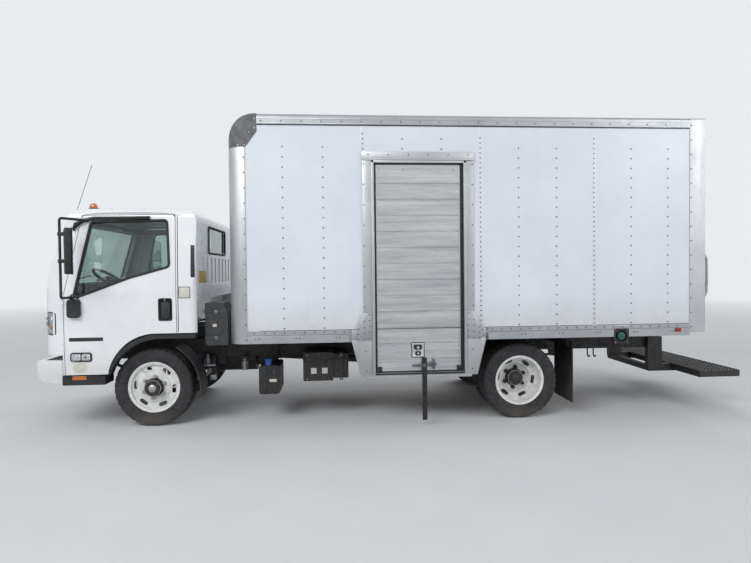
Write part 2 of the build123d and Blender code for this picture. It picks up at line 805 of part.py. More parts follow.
# Front wall with its corner posts, and the moulded caps at the top corners
cap_low_z = box_top_z - 334
cap_inner_y = box_half_width - 240
nose_outline = (
    (box_front_x - 50, bottom_rail_z),
    (nose_line_x, bottom_rail_z),
    (nose_line_x, cap_low_z),
    (cap_line_x, cap_low_z + 160),
    (cap_line_x, box_top_z + 50),
    (box_front_x - 50, box_top_z + 50),
)
cap_outline = ((box_front_x - 50, cap_low_z), *nose_outline[2:])
box_outer = box_form(0)
box_inner = box_form(wall_thickness)
nose_slab = slab(nose_outline, -box_half_width - 50, box_half_width + 50)
cap_slab = slab(cap_outline, -box_half_width - 50, -cap_inner_y)
with BuildPart() as nose:
    add(box_outer)
    add(box_inner, mode=Mode.SUBTRACT)
    add(nose_slab, mode=Mode.INTERSECT)
    add(cap_slab, mode=Mode.SUBTRACT)
    add(mirror(cap_slab, about=Plane.XZ), mode=Mode.SUBTRACT)
save(nose.part, "box_front_wall")
with BuildPart() as caps:
    add(box_outer)
    add(box_inner, mode=Mode.SUBTRACT)
    add(cap_slab, mode=Mode.INTERSECT)
    mirror(about=Plane.XZ)
save(caps.part, "box_corner_caps")

# Side walls between the nose, the rear posts and the rails
wall_outline = (
    (nose_line_x, wall_bottom_z),
    (rear_post_x, wall_bottom_z),
    (rear_post_x, box_top_z - top_rail_height),
    (cap_line_x, box_top_z - top_rail_height),
    (cap_line_x, cap_low_z + 160),
    (nose_line_x, cap_low_z),
)
door_cut_y = (-wall_outer_y - 50, -wall_inner_y + 50)
with BuildPart() as wall_left:
    add(slab(wall_outline, -wall_outer_y, -wall_inner_y))
    add(block(door_frame_x, door_cut_y, (0, door_frame_top_z)), mode=Mode.SUBTRACT)
save(wall_left.part, "box_wall_left")
with BuildPart() as wall_right:
    add(slab(wall_outline, wall_inner_y, wall_outer_y))
save(wall_right.part, "box_wall_right")

# Roof sheet and the rails along the top and bottom edges
roof_z = (box_top_z - roof_thickness, box_top_z - 4)
with BuildPart() as roof:
    add(block((cap_line_x, rear_post_x), (-wall_inner_y, wall_inner_y), roof_z))
save(roof.part, "box_roof")

with BuildPart() as rails:
    for side in (-1, 1):
        with BuildSketch(Plane.YZ.offset(cap_line_x)):
            with BuildLine():
                Polyline(
                    (side * box_half_width, box_top_z - top_rail_height),
                    (side * box_half_width, box_top_z - 24),
                    (side * (box_half_width - 24), box_top_z),
                    (side * wall_inner_y, box_top_z),
                    (side * wall_inner_y, box_top_z - top_rail_height),
                    close=True,
                )
            make_face()
        extrude(amount=rear_post_x - cap_line_x)
    for start, end, side in (
        (nose_line_x, skirt_top_x[0], -1),
        (skirt_top_x[1], filler_x[0], -1),
        (filler_x[1], rear_post_x, -1),
        (nose_line_x, rear_post_x, 1),
    ):
        with BuildSketch(Plane.YZ.offset(start)):
            with BuildLine():
                Polyline(
                    (side * rail_inner_y, bottom_rail_z),
                    (side * box_half_width, bottom_rail_z),
                    (side * box_half_width, bottom_rail_z + 72),
                    (side * (box_half_width - 5), bottom_rail_z + 78),
                    (side * box_half_width, bottom_rail_z + 84),
                    (side * box_half_width, wall_bottom_z),
                    (side * rail_inner_y, wall_bottom_z),
                    close=True,
                )
            make_face()
        extrude(amount=end - start)
save(rails.part, "box_rails")

# Rear frame: posts, header and sill round the rear door
rear_opening_y = box_half_width - 129
rear_opening_z = (wall_bottom_z - floor_drop, box_top_z - 144)
rear_bottom_z = bottom_rail_z + 32
with BuildPart() as rear_frame:
    add(block((rear_post_x, box_rear_x), (-box_half_width, box_half_width), (rear_bottom_z, box_top_z)))
    add(
        block((rear_post_x - 5, box_rear_x + 5), (-rear_opening_y, rear_opening_y), rear_opening_z),
        mode=Mode.SUBTRACT,
    )
    fillet(rear_frame.edges().filter_by(Axis.X).group_by(Axis.Z)[-1], 20)
save(rear_frame.part, "rear_frame")

# Roll-up rear door of wide panels, in the rear opening
rear_panel_count = 6
rear_door_inset = 60
rear_door_thickness = 26
panel_height = (rear_opening_z[1] - rear_opening_z[0] - 2 * seat_gap) / rear_panel_count
with BuildPart() as rear_door:
    with BuildSketch(across(rear_opening_y - seat_gap)):
        outer_x = box_rear_x - rear_door_inset
        inner_x = outer_x - rear_door_thickness
        for index in range(rear_panel_count):
            low = rear_opening_z[0] + seat_gap + index * panel_height
            with BuildLine():
                Polyline(
                    (inner_x, low),
                    (outer_x - 8, low),
                    (outer_x, low + 8),
                    (outer_x, low + panel_height - 8),
                    (outer_x - 8, low + panel_height),
                    (inner_x, low + panel_height),
                    close=True,
                )
            make_face()
    extrude(amount=2 * (rear_opening_y - seat_gap))
save(rear_door.part, "rear_door")

# Side door frame: jambs and header in the wall, and the skirt that hangs below the floor
gusset_bottom_z = bottom_rail_z + 4
gusset_knee_z = wall_bottom_z + 12
gusset_top_z = wall_bottom_z + 192
gusset_thickness = 4
with BuildPart() as door_frame:
    add(block(door_frame_x, (door_frame_outer_y, -wall_inner_y), (wall_bottom_z, door_frame_top_z)))
    add(
        slab(
            (
                (skirt_top_x[0], bottom_rail_z - 2),
                (skirt_top_x[0], wall_bottom_z),
                (skirt_top_x[1], wall_bottom_z),
                (skirt_top_x[1], bottom_rail_z - 2),
                (well_x[1], skirt_bottom_z),
                (well_x[0], skirt_bottom_z),
            ),
            door_frame_outer_y,
            -wall_inner_y,
        )
    )
    add(
        block(door_opening_x, (door_frame_outer_y - 50, -wall_inner_y + 50), door_opening_z),
        mode=Mode.SUBTRACT,
    )
    # Riveted gussets where the skirt meets the bottom rails
    for jamb_x, side in ((door_frame_x[0], -1), (door_frame_x[1], 1)):
        with BuildSketch(across(door_frame_outer_y)):
            with BuildLine():
                Polyline(
                    (jamb_x - side * 30, gusset_top_z),
                    (jamb_x - side * 30, gusset_bottom_z),
                    (jamb_x + side * 150, gusset_bottom_z),
                    (jamb_x + side * 150, gusset_knee_z),
                    (jamb_x + side * 70, gusset_top_z),
                    close=True,
                )
            make_face()
        extrude(amount=gusset_thickness)
save(door_frame.part, "side_door_frame")

# Step well behind the skirt: floor pan, back wall and two ends, open above and towards the door
well_wall = 8
well_pan_z = skirt_bottom_z + 10
pan_x = (well_x[0] + 30, well_x[1] - 30)
with BuildPart() as well:
    add(block(pan_x, (-wall_inner_y, well_inner_y), (well_pan_z, floor_bottom_z)))
    add(
        block(
            (pan_x[0] + well_wall, pan_x[1] - well_wall),
            (-wall_inner_y - 5, well_inner_y - well_wall),
            (well_pan_z + well_wall, floor_bottom_z + 5),
        ),
        mode=Mode.SUBTRACT,
    )
save(well.part, "side_door_well")

# Roll-up side door: a curtain of slats with a groove between them
slat_count = 13
curtain_outer_y = door_frame_outer_y + 26
curtain_thickness = 14
slat_pitch = (door_opening_z[1] - door_opening_z[0] - 2 * seat_gap) / slat_count
with BuildPart() as curtain:
    with BuildSketch(Plane.YZ.offset(door_opening_x[0] + seat_gap)):
        for index in range(slat_count):
            low = door_opening_z[0] + seat_gap + index * slat_pitch
            with BuildLine():
                Polyline(
                    (curtain_outer_y + curtain_thickness, low),
                    (curtain_outer_y + 6, low),
                    (curtain_outer_y, low + 7),
                    (curtain_outer_y, low + slat_pitch - 7),
                    (curtain_outer_y + 6, low + slat_pitch),
                    (curtain_outer_y + curtain_thickness, low + slat_pitch),
                    close=True,
                )
            make_face()
    extrude(amount=door_opening_x[1] - door_opening_x[0] - 2 * seat_gap)
save(curtain.part, "side_door")

# Latch plate and lever low on the side door
latch_x = door_opening_x[0] + 454
latch_plate_z = (door_sill_z + 155, door_sill_z + 295)
lever_thickness = 20
lever_z = (door_sill_z + 63, door_sill_z + 145)
with BuildPart() as latch:
    add(block((latch_x - 62, latch_x + 58), (curtain_outer_y - 6, curtain_outer_y), latch_plate_z))
    raised_z = (latch_plate_z[0] + 16, latch_plate_z[1] - 14)
    add(block((latch_x - 40, latch_x + 34), (curtain_outer_y - 14, curtain_outer_y - 6), raised_z))
    add(block((latch_x - 84, latch_x + 160), (curtain_outer_y - lever_thickness, curtain_outer_y), lever_z))
save(latch.part, "side_door_latch")

# Pull strap that hangs from the latch
strap_width = 50
strap_thickness = 6
strap_x = latch_x + 42
strap_seat_y = curtain_outer_y - lever_thickness - strap_thickness / 2
strap_hang_y = door_frame_outer_y - 6
strap_route = ((strap_seat_y, 690), (strap_seat_y, 620), (strap_hang_y, 560), (strap_hang_y, 60))
strap_run = ((strap_seat_y - strap_hang_y) ** 2 + 60**2) ** 0.5
strap_turn = atan((strap_seat_y - strap_hang_y) / 60)
strap_bend = 0.45 * strap_run / tan(strap_turn / 2)
print("pull strap bends", round(strap_bend, 1))
with BuildPart() as strap:
    with BuildLine(Plane.YZ.offset(strap_x)) as strap_line:
        FilletPolyline(*strap_route, radius=strap_bend)
    with BuildSketch(Plane(origin=strap_line.line @ 0, x_dir=(1, 0, 0), z_dir=strap_line.line % 0)):
        Rectangle(strap_width, strap_thickness)
    sweep()
strap_section = strap_width * strap_thickness
strap_length = sum(edge.length for edge in strap_line.edges())
print("pull strap length", round(strap_length), "and by volume", round(strap.part.volume / strap_section))
save(strap.part, "pull_strap")

# Rear step: deck and the hangers that carry it outside the rails
deck_x = (box_rear_x + 89, box_rear_x + step_reach)
deck_half_width = 1000
deck_z = (372, 438)
hanger_outer_y = 490
hanger_x = (frame_rear_x - 168, frame_rear_x + 5)
hanger_top_z = frame_top_z - 70
hanger_knee_z = 420
hanger_bottom_z = deck_z[0] - 20
crossbar_x = (hanger_x[0] + 12, hanger_x[0] + 80)
with BuildPart() as rear_step:
    add(block(deck_x, (-deck_half_width, deck_half_width), deck_z))
    for y_low in (-hanger_outer_y, frame_half_width + seat_gap):
        add(
            slab(
                (
                    (crossbar_x[0], hanger_bottom_z),
                    (deck_x[0] + 240, hanger_bottom_z),
                    (deck_x[0] + 270, deck_z[0]),
                    (deck_x[0], deck_z[0]),
                    (deck_x[0], deck_z[1]),
                    (hanger_x[1], deck_z[1]),
                    (hanger_x[1], hanger_top_z),
                    (hanger_x[0], hanger_top_z),
                    (hanger_x[0], hanger_knee_z),
                ),
                y_low,
                y_low + hanger_outer_y - frame_half_width - seat_gap,
            )
        )
    crossbar_y = (-frame_half_width - 5, frame_half_width + 5)
    add(block(crossbar_x, crossbar_y, (hanger_bottom_z, hanger_bottom_z + 66)))
save(rear_step.part, "rear_step")


# Cab: its form is the common part of a side, a plan and a front outline
belt_z = 1380
cab_roof_z = 2241
cab_front_x = behind(-1062)
cab_rear_x = behind(472)
cab_below_z = 250
roof_edge_radius = 110
nose_corner_radius = 200
rear_corner_radius = 70


def cab_form(inset):
    """The cab's outer form moved inwards by the inset, carried down below its skirts."""
    with BuildPart() as form:
        with BuildSketch(Plane.XY) as plan:
            with Locations((cab_front_x + inset, 0)):
                plan_length = cab_rear_x - cab_front_x - 2 * inset
                Rectangle(plan_length, 2 * (cab_half_width - inset), align=(Align.MIN, Align.CENTER))
            fillet(plan.vertices().group_by(Axis.X)[0], nose_corner_radius - inset)
            fillet(plan.vertices().group_by(Axis.X)[-1], rear_corner_radius - inset)
        extrude(amount=cab_roof_z + 50)
        with BuildSketch(Plane.YZ.offset(behind(-1200))) as front:
            with BuildLine():
                Polyline(
                    (-cab_half_width + inset, cab_below_z),
                    (-cab_half_width + inset, belt_z),
                    (-cab_half_width + cab_skin_lean + inset, cab_roof_z - inset),
                    (cab_half_width - cab_skin_lean - inset, cab_roof_z - inset),
                    (cab_half_width - inset, belt_z),
                    (cab_half_width - inset, cab_below_z),
                    close=True,
                )
            make_face()
            fillet(front.vertices().group_by(Axis.Y)[-1], roof_edge_radius - inset)
        extrude(amount=2000, mode=Mode.INTERSECT)
        with BuildSketch(Plane.XZ) as side:
            with BuildLine():
                Polyline(
                    (behind(462), 300),
                    (behind(462), 1460),
                    (behind(468), cab_roof_z),
                    (behind(-762), cab_roof_z),
                    (behind(-1020), 1440),
                    (behind(-1045), 1290),
                    (behind(-1060), 1075),
                    (behind(-1045), 765),
                    (behind(-1045), 300),
                    close=True,
                )
            make_face()
            if inset:
                offset(amount=-inset, kind=Kind.INTERSECTION)
            fillet(side.vertices().group_by(Axis.Y)[-1], 150 - inset)
        extrude(amount=cab_half_width + 50, both=True, mode=Mode.INTERSECT)
        split(bisect_by=Plane.XZ)
        mirror(about=Plane.XZ)
    return form.part


# Lower edge of the cab: nose, door skirt, wheel arch and rear corner
skirt_z = 565
arch_points = ((behind(-414), skirt_z), (behind(-193), 896), (behind(80), 966))
rear_edge_z = 968
with BuildPart() as skirt_cut:
    with BuildSketch(across(-cab_half_width - 50)):
        with BuildLine():
            Polyline(
                arch_points[2],
                (behind(600), rear_edge_z),
                (behind(600), 200),
                (behind(-1200), 200),
                (behind(-1200), 765),
                (behind(-845), 765),
                (behind(-845), skirt_z),
                arch_points[0],
            )
            ThreePointArc(*arch_points)
        make_face()
    extrude(amount=-2 * cab_half_width - 100)
with BuildPart() as cab_body:
    add(cab_form(0))
    add(skirt_cut.part, mode=Mode.SUBTRACT)
cab_outer = cab_body.part
cab_inner = cab_form(cab_wall)
cab_door_clear = cab_form(cab_wall + swing_gap)
floor_line = (
    (behind(-1100), 890),
    (behind(-390), 890),
    (behind(-330), 1050),
    (behind(240), 1050),
    (behind(330), 1330),
    (behind(700), 1330),
)
underside_z = 850
under_line = (
    (behind(-980), underside_z),
    (behind(-360), underside_z),
    (behind(-300), 1010),
    (behind(262), 1010),
    (behind(352), 1290),
    (behind(700), 1290),
)
door_outline = (
    (behind(-822), 500),
    (behind(-831), 1340),
    (behind(-650), 2160),
    (behind(254), 2168),
    (behind(268), 500),
)
window_outline = (
    (behind(-729), 1361),
    (behind(-566), 2096),
    (behind(177), 2112),
    (behind(198), 1641),
    (behind(-200), 1530),
    (behind(-560), 1392),
    (behind(-700), 1345),
)
windshield_outline = ((-900, 1462), (-840, 2090), (840, 2090), (900, 1462))
rear_window_outline = ((-450, 1790), (-450, 2085), (450, 2085), (450, 1790))


def outline_prism(plane, points, depth, growth, radius):
    """A prism of a closed outline, grown or shrunk all round and rounded at its corners."""
    with BuildPart() as prism:
        with BuildSketch(plane) as outline:
            with BuildLine():
                Polyline(*points, close=True)
            make_face()
            if growth:
                offset(amount=growth, kind=Kind.INTERSECTION)
            if radius:
                fillet(outline.vertices(), radius)
        extrude(amount=depth)
    return prism.part


door_side = across(-700)
door_hole = outline_prism(door_side, door_outline, 500, swing_gap, 0)
door_body = outline_prism(door_side, door_outline, 500, 0, 40)
window_hole = outline_prism(door_side, window_outline, 500, 0, 24)
window_pane = outline_prism(door_side, window_outline, 500, -seat_gap, 24)
nose_plane = Plane.YZ.offset(behind(-1200))
shield_hole = outline_prism(nose_plane, windshield_outline, 700, 0, 70)
shield_pane = outline_prism(nose_plane, windshield_outline, 700, -seat_gap, 70)
back_plane = Plane.YZ.offset(behind(300))
back_hole = outline_prism(back_plane, rear_window_outline, 300, 0, 60)
back_pane = outline_prism(back_plane, rear_window_outline, 300, -seat_gap, 60)
lamp_outline = ((-1040, 960), (-1040, 1200), (-700, 1190), (-640, 1010))
lamp_plane = Plane.YZ.offset(behind(-1200))
lamp_hole = outline_prism(lamp_plane, lamp_outline, 258, 0, 24)
lamp_body = outline_prism(lamp_plane, lamp_outline, 258 - seat_gap, -seat_gap, 24)
grille_half_width = 600
grille_z = (820, 1000)
grille_outline = (
    (-grille_half_width, grille_z[0]),
    (-grille_half_width, grille_z[1]),
    (grille_half_width, grille_z[1]),
    (grille_half_width, grille_z[0]),
)
grille_hole = outline_prism(lamp_plane, grille_outline, 300, 0, 30)
grille_body = outline_prism(lamp_plane, grille_outline, 300, -seat_gap, 30)
lamp_back = cab_form(40)
inside_floor = slab(
    (*floor_line, (behind(700), 300), (behind(-1100), 300)),
    -cab_half_width,
    cab_half_width,
)
underside = slab(
    (*under_line, (behind(700), 300), (behind(-980), 300)),
    -cab_half_width + cab_wall,
    cab_half_width - cab_wall,
)
with BuildPart() as cabin:
    add(cab_inner)
    add(inside_floor, mode=Mode.SUBTRACT)
with BuildPart() as door_cut:
    add(door_hole)
    add(cab_door_clear, mode=Mode.SUBTRACT)
with BuildPart() as lamp_cut:
    add(lamp_hole)
    add(lamp_back, mode=Mode.SUBTRACT)

# Shell of the cab, with hinge arms under its nose whose pins turn in the rails' eyes
hinge_arm_y = (-352, -312)
rib_rows = (-700, -500, -300, -100, 100, 300, 500, 700)
rib_width = 70
rib_depth = 8
rib_z = (1460, 1744)
door_hinge_x = behind(-831)
door_hinge_z = (840, 1290)
hinge_height = 72
knuckle_height = 30
barrel_radius = 7
barrel_clearance = 5
hinge_pin_radius = 3.5
hinge_web = 6


def hinge_column(middle_z, height, radius):
    """An upright cylinder on the left door's hinge line."""
    with BuildPart() as column:
        with BuildSketch(Plane.XY.offset(middle_z - height / 2)):
            with Locations((door_hinge_x, -cab_half_width)):
                Circle(radius)
        extrude(amount=height)
    return column.part


def hinge_leaf(side, middle_z, height):
    """The short web that joins a barrel to the wall ahead of it (-1) or to the door behind it (1)."""
    reach = barrel_radius + barrel_clearance + 10
    near = hinge_pin_radius + pin_play + 0.4
    x_range = sorted((door_hinge_x + side * near, door_hinge_x + side * reach))
    y_range = (-cab_half_width, -cab_half_width + hinge_web)
    return block(x_range, y_range, (middle_z - height / 2, middle_z + height / 2))


with BuildPart() as hinge_pockets:
    for middle_z in door_hinge_z:
        add(hinge_column(middle_z, hinge_height + 2 * barrel_clearance, barrel_radius + barrel_clearance))
with BuildPart() as shell_barrels:
    for middle_z in door_hinge_z:
        add(hinge_column(middle_z, knuckle_height, barrel_radius))
        add(hinge_leaf(-1, middle_z, knuckle_height))
        add(hinge_column(middle_z, knuckle_height, hinge_pin_radius + pin_play), mode=Mode.SUBTRACT)
door_barrel_height = (hinge_height - knuckle_height) / 2 - 3
with BuildPart() as door_barrels:
    for middle_z in door_hinge_z:
        add(hinge_column(middle_z, hinge_height, hinge_pin_radius))
        for end in (-1, 1):
            barrel_z = middle_z + end * (hinge_height - door_barrel_height) / 2
            add(hinge_column(barrel_z, door_barrel_height, barrel_radius))
            add(hinge_leaf(1, barrel_z, door_barrel_height))
with BuildPart() as cab_shell:
    add(cab_outer)
    add(cabin.part, mode=Mode.SUBTRACT)
    add(underside, mode=Mode.SUBTRACT)
    add(door_cut.part, mode=Mode.SUBTRACT)
    add(mirror(door_cut.part, about=Plane.XZ), mode=Mode.SUBTRACT)
    add(shield_hole, mode=Mode.SUBTRACT)
    add(back_hole, mode=Mode.SUBTRACT)
    add(lamp_cut.part, mode=Mode.SUBTRACT)
    add(mirror(lamp_cut.part, about=Plane.XZ), mode=Mode.SUBTRACT)
    add(grille_hole, mode=Mode.SUBTRACT)
    for rib_y in rib_rows:
        groove_y = (rib_y - rib_width / 2, rib_y + rib_width / 2)
        add(block((behind(462) - rib_depth, behind(500)), groove_y, rib_z), mode=Mode.SUBTRACT)
    add(hinge_pockets.part, mode=Mode.SUBTRACT)
    add(mirror(hinge_pockets.part, about=Plane.XZ), mode=Mode.SUBTRACT)
    add(shell_barrels.part)
    add(mirror(shell_barrels.part, about=Plane.XZ))
    for inner_y, outer_y in (hinge_arm_y, (-hinge_arm_y[1], -hinge_arm_y[0])):
        with BuildSketch(across(outer_y)):
            with BuildLine():
                Polyline(
                    (tilt_x - 20, tilt_z - 22),
                    (tilt_x + 20, tilt_z - 26),
                    (tilt_x + 70, tilt_z + 90),
                    (tilt_x + 70, underside_z),
                    (tilt_x, underside_z),
                    (tilt_x - 20, tilt_z + 40),
                    close=True,
                )
            make_face()
        extrude(amount=outer_y - inner_y)
    for pin_y in (hinge_arm_y[0], frame_half_width):
        with BuildSketch(across(pin_y)):
            with Locations((tilt_x, tilt_z)):
                Circle(tilt_pin_radius)
        extrude(amount=frame_half_width + hinge_arm_y[0])
save(cab_shell.part, "cab_shell")

# Doors as thick as the cab's wall, with their windows and a recess with the grip across it
handle_x = (behind(92), behind(222))
handle_z = (1096, 1318)
handle_depth = 30
grip_width = 34
grip_thickness = 12
with BuildPart() as door:
    add(cab_outer)
    add(cab_inner, mode=Mode.SUBTRACT)
    add(door_body, mode=Mode.INTERSECT)
    add(window_hole, mode=Mode.SUBTRACT)
    add(hinge_pockets.part, mode=Mode.SUBTRACT)
    recess_y = (-cab_half_width - 5, -cab_half_width + handle_depth)
    add(block(handle_x, recess_y, handle_z), mode=Mode.SUBTRACT)
    grip_x = (handle_x[0] + grip_width, handle_x[0] + 2 * grip_width)
    add(block(grip_x, (-cab_half_width, -cab_half_width + grip_thickness), handle_z))
    add(door_barrels.part)
save_pair(door.part, "cab_door")
glass_outer = cab_form(12)
glass_inner = cab_form(18)
with BuildPart() as glass_skin:
    add(glass_outer)
    add(glass_inner, mode=Mode.SUBTRACT)
with BuildPart() as door_glass:
    add(glass_skin.part)
    add(window_pane, mode=Mode.INTERSECT)
save_pair(door_glass.part, "door_glass")
with BuildPart() as panes:
    add(shield_pane)
    add(back_pane)
with BuildPart() as windows:
    add(glass_skin.part)
    add(panes.part, mode=Mode.INTERSECT)
save(windows.part, "cab_glass")

# Headlamps, grille and roof lamps
roof_lamp_rows = (-840, -374, 0, 374, 840)
roof_lamp_length = 110
roof_lamp_width = 56
roof_lamp_height = 34
with BuildPart() as lamps:
    add(cab_outer)
    add(lamp_back, mode=Mode.SUBTRACT)
    add(lamp_body, mode=Mode.INTERSECT)
    mirror(about=Plane.XZ)
save(lamps.part, "headlamps")
grille_slot_count = 4
grille_slot_height = 20
grille_bay_count = 3
grille_border = 14
grille_divider = 20
grille_slot_pitch = (grille_z[1] - grille_z[0] - 2 * grille_border) / grille_slot_count
grille_bay_pitch = (2 * grille_half_width - 2 * grille_border) / grille_bay_count
with BuildPart() as grille:
    add(cab_form(6))
    add(lamp_back, mode=Mode.SUBTRACT)
    add(grille_body, mode=Mode.INTERSECT)
    with BuildSketch(lamp_plane):
        with Locations((0, sum(grille_z) / 2)):
            with GridLocations(grille_bay_pitch, grille_slot_pitch, grille_bay_count, grille_slot_count):
                Rectangle(grille_bay_pitch - grille_divider, grille_slot_height)
    extrude(amount=300, mode=Mode.SUBTRACT)
save(grille.part, "front_grille")
roof_lamp_x = behind(-594)
with BuildPart() as roof_lamps:
    with BuildSketch(Plane.XY.offset(cab_roof_z)) as lamp_feet:
        with Locations([(roof_lamp_x, lamp_y) for lamp_y in roof_lamp_rows]):
            Rectangle(roof_lamp_length, roof_lamp_width)
        chamfer(lamp_feet.vertices(), roof_lamp_width / 3)
    extrude(amount=roof_lamp_height)
save(roof_lamps.part, "roof_lamps")

# Dashboard on the cab's floor, with a bore for the steering column
wheel_centre = Vector(behind(-560), -510, 1500)
column_lean = 35
column_radius = 24
column_length = 290
steering_axis = Vector(sin(radians(column_lean)), 0, cos(radians(column_lean)))
wheel_plane = Plane(origin=wheel_centre, x_dir=(0, 1, 0), z_dir=steering_axis)
dash_floor_z = floor_line[0][1] + seat_gap
dash_outline = (
    (behind(-985), dash_floor_z),
    (behind(-985), 1300),
    (behind(-955), 1400),
    (behind(-760), 1400),
    (behind(-640), 1330),
    (behind(-660), 1180),
    (behind(-800), 1100),
    (behind(-830), dash_floor_z),
)
with BuildPart() as dashboard:
    add(slab(dash_outline, -840, 840))
    with BuildSketch(wheel_plane):
        Circle(column_radius + seat_gap)
    extrude(amount=-column_length - seat_gap, mode=Mode.SUBTRACT)
save(dashboard.part, "dashboard")

seat_outline = (
    (behind(-330), 1100),
    (behind(-350), 1210),
    (behind(80), 1190),
    (behind(190), 1900),
    (behind(290), 1900),
    (behind(220), 1340),
    (behind(200), 1100),
)
with BuildPart() as seats:
    for low, high in ((-760, -260), (-140, 760)):
        add(slab(seat_outline, low, high, 18))
        add(block((behind(-260), behind(160)), (low + 60, high - 60), (1050, 1100)))
save(seats.part, "seats")

steering_radius = 215
with BuildPart() as steering:
    with BuildSketch(Plane(origin=wheel_centre, x_dir=(0, 1, 0), z_dir=steering_axis.cross(Vector(0, 1, 0)))):
        with Locations((steering_radius, 0)):
            RegularPolygon(15, 6)
    revolve(axis=Axis(wheel_centre, steering_axis))
    with BuildSketch(wheel_plane.offset(-12)):
        Circle(70)
        Rectangle(2 * steering_radius, 44)
        with Locations((0, -steering_radius / 2)):
            Rectangle(44, steering_radius)
    extrude(amount=20)
    with BuildSketch(wheel_plane.offset(-12)):
        Circle(column_radius)
    extrude(amount=-column_length + 12)
save(steering.part, "steering_wheel")

# Mirrors: a bent tube from the door's corner to its top edge carries the rounded head
mirror_y = -1250
mirror_tube_radius = 13
mirror_bend = 45
mirror_line_x = behind(-746)
mirror_low_z = 1344
mirror_top_z = 2112
mirror_head_x = (behind(-700), behind(-636))
mirror_head_z = (1610, 2050)
mirror_head_half_width = 105
mirror_head_corner = 45
mirror_foot = 22
skin_y = -cab_half_width + cab_skin_lean * (mirror_top_z - belt_z) / (cab_roof_z - belt_z)
top_foot_x = behind(-610)
mirror_route = (
    (mirror_line_x, -cab_half_width - seat_gap, mirror_low_z),
    (mirror_line_x, mirror_y, mirror_low_z),
    (mirror_line_x, mirror_y, mirror_top_z),
    (top_foot_x, skin_y - mirror_foot / 2, mirror_top_z),
)
with BuildPart() as door_mirror:
    with BuildLine():
        mirror_line = FilletPolyline(*mirror_route, radius=mirror_bend)
    with BuildSketch(Plane(origin=mirror_line @ 0, z_dir=mirror_line % 0)):
        RegularPolygon(mirror_tube_radius, 6)
    sweep()
    for foot_x, foot_z in ((mirror_line_x, mirror_low_z), (top_foot_x, mirror_top_z)):
        foot_x_range = (foot_x - mirror_foot, foot_x + mirror_foot)
        foot_y_range = (-cab_half_width - mirror_foot, -cab_half_width + cab_skin_lean)
        add(block(foot_x_range, foot_y_range, (foot_z - mirror_foot, foot_z + mirror_foot)))
    add(cab_form(-seat_gap), mode=Mode.SUBTRACT)
    with BuildSketch(Plane.YZ.offset(mirror_head_x[0])):
        with Locations((mirror_y, sum(mirror_head_z) / 2)):
            head_height = mirror_head_z[1] - mirror_head_z[0]
            RectangleRounded(2 * mirror_head_half_width, head_height, mirror_head_corner)
    extrude(amount=mirror_head_x[1] - mirror_head_x[0])
    for arm_z in (mirror_head_z[0] + 90, mirror_head_z[1] - 90):
        arm_y = (mirror_y - mirror_tube_radius, mirror_y + mirror_tube_radius)
        add(block((mirror_line_x, mirror_head_x[0]), arm_y, (arm_z - 18, arm_z + 18)))
save_pair(door_mirror.part, "mirror")

# Fender flares: a band under the wheel arch and the rear edge, on a web that hangs from the cab's floor
flare_gap = 12
flare_outer_y = -cab_half_width - 4
flare_inner_y = -930
flare_band = 42
flare_front_band = 10
flare_rear_x = behind(452)
flare_web_y = (-966, -954)
flare_web_x = (under_line[2][0] + 10, under_line[3][0] - 4)
flare_web_top_z = under_line[2][1] - seat_gap
flare_line = (
    (arch_points[0][0] + flare_gap, arch_points[0][1]),
    (arch_points[1][0] + flare_gap, arch_points[1][1] - flare_gap),
    (arch_points[2][0], arch_points[2][1] - flare_gap),
)
flare_inner_line = (
    (flare_line[0][0] + flare_front_band, flare_line[0][1]),
    (flare_line[1][0] + flare_band / 2, flare_line[1][1] - flare_band),
    (flare_line[2][0], flare_line[2][1] - flare_band),
)
with BuildPart() as flares:
    with BuildSketch(across(flare_inner_y)):
        with BuildLine():
            ThreePointArc(*flare_line)
            ThreePointArc(*flare_inner_line)
            Line(flare_line[0], flare_inner_line[0])
            Polyline(
                flare_line[2],
                (flare_rear_x, flare_line[2][1]),
                (flare_rear_x, flare_inner_line[2][1]),
                flare_inner_line[2],
            )
        make_face()
    extrude(amount=flare_inner_y - flare_outer_y)
    add(block(flare_web_x, flare_web_y, (flare_line[2][1] - flare_band, flare_web_top_z)))
    add(skirt_cut.part, mode=Mode.INTERSECT)
    add(block(flare_web_x, flare_web_y, (flare_line[2][1] - flare_gap, flare_web_top_z)))
    mirror(about=Plane.XZ)
save(flares.part, "fender_flares")

# Rear lamps on the sill of the rear frame, and the row of marker lamps on its header
rear_lamp_thickness = 22
sill_lamp_z = (rear_bottom_z + rear_opening_z[0]) / 2
sill_lamp_rows = (-1080, -880, 880, 1080)
sill_lamp_length = 165
sill_lamp_height = 56
header_lamp_z = (rear_opening_z[1] + box_top_z) / 2
header_lamp_rows = (-1100, -160, 0, 160, 1100)
header_lamp_length = 66
header_lamp_height = 26
with BuildPart() as rear_lamps:
    with BuildSketch(Plane.YZ.offset(box_rear_x + seat_gap)) as lamp_faces:
        with Locations([(lamp_y, sill_lamp_z) for lamp_y in sill_lamp_rows]):
            Rectangle(sill_lamp_length, sill_lamp_height)
        with Locations([(lamp_y, header_lamp_z) for lamp_y in header_lamp_rows]):
            Rectangle(header_lamp_length, header_lamp_height)
        chamfer(lamp_faces.vertices(), header_lamp_height / 3)
    extrude(amount=rear_lamp_thickness)
save(rear_lamps.part, "rear_lamps")
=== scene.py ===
from math import atan2, cos, pi, radians, sin

import bpy
from mathutils import Matrix, Vector


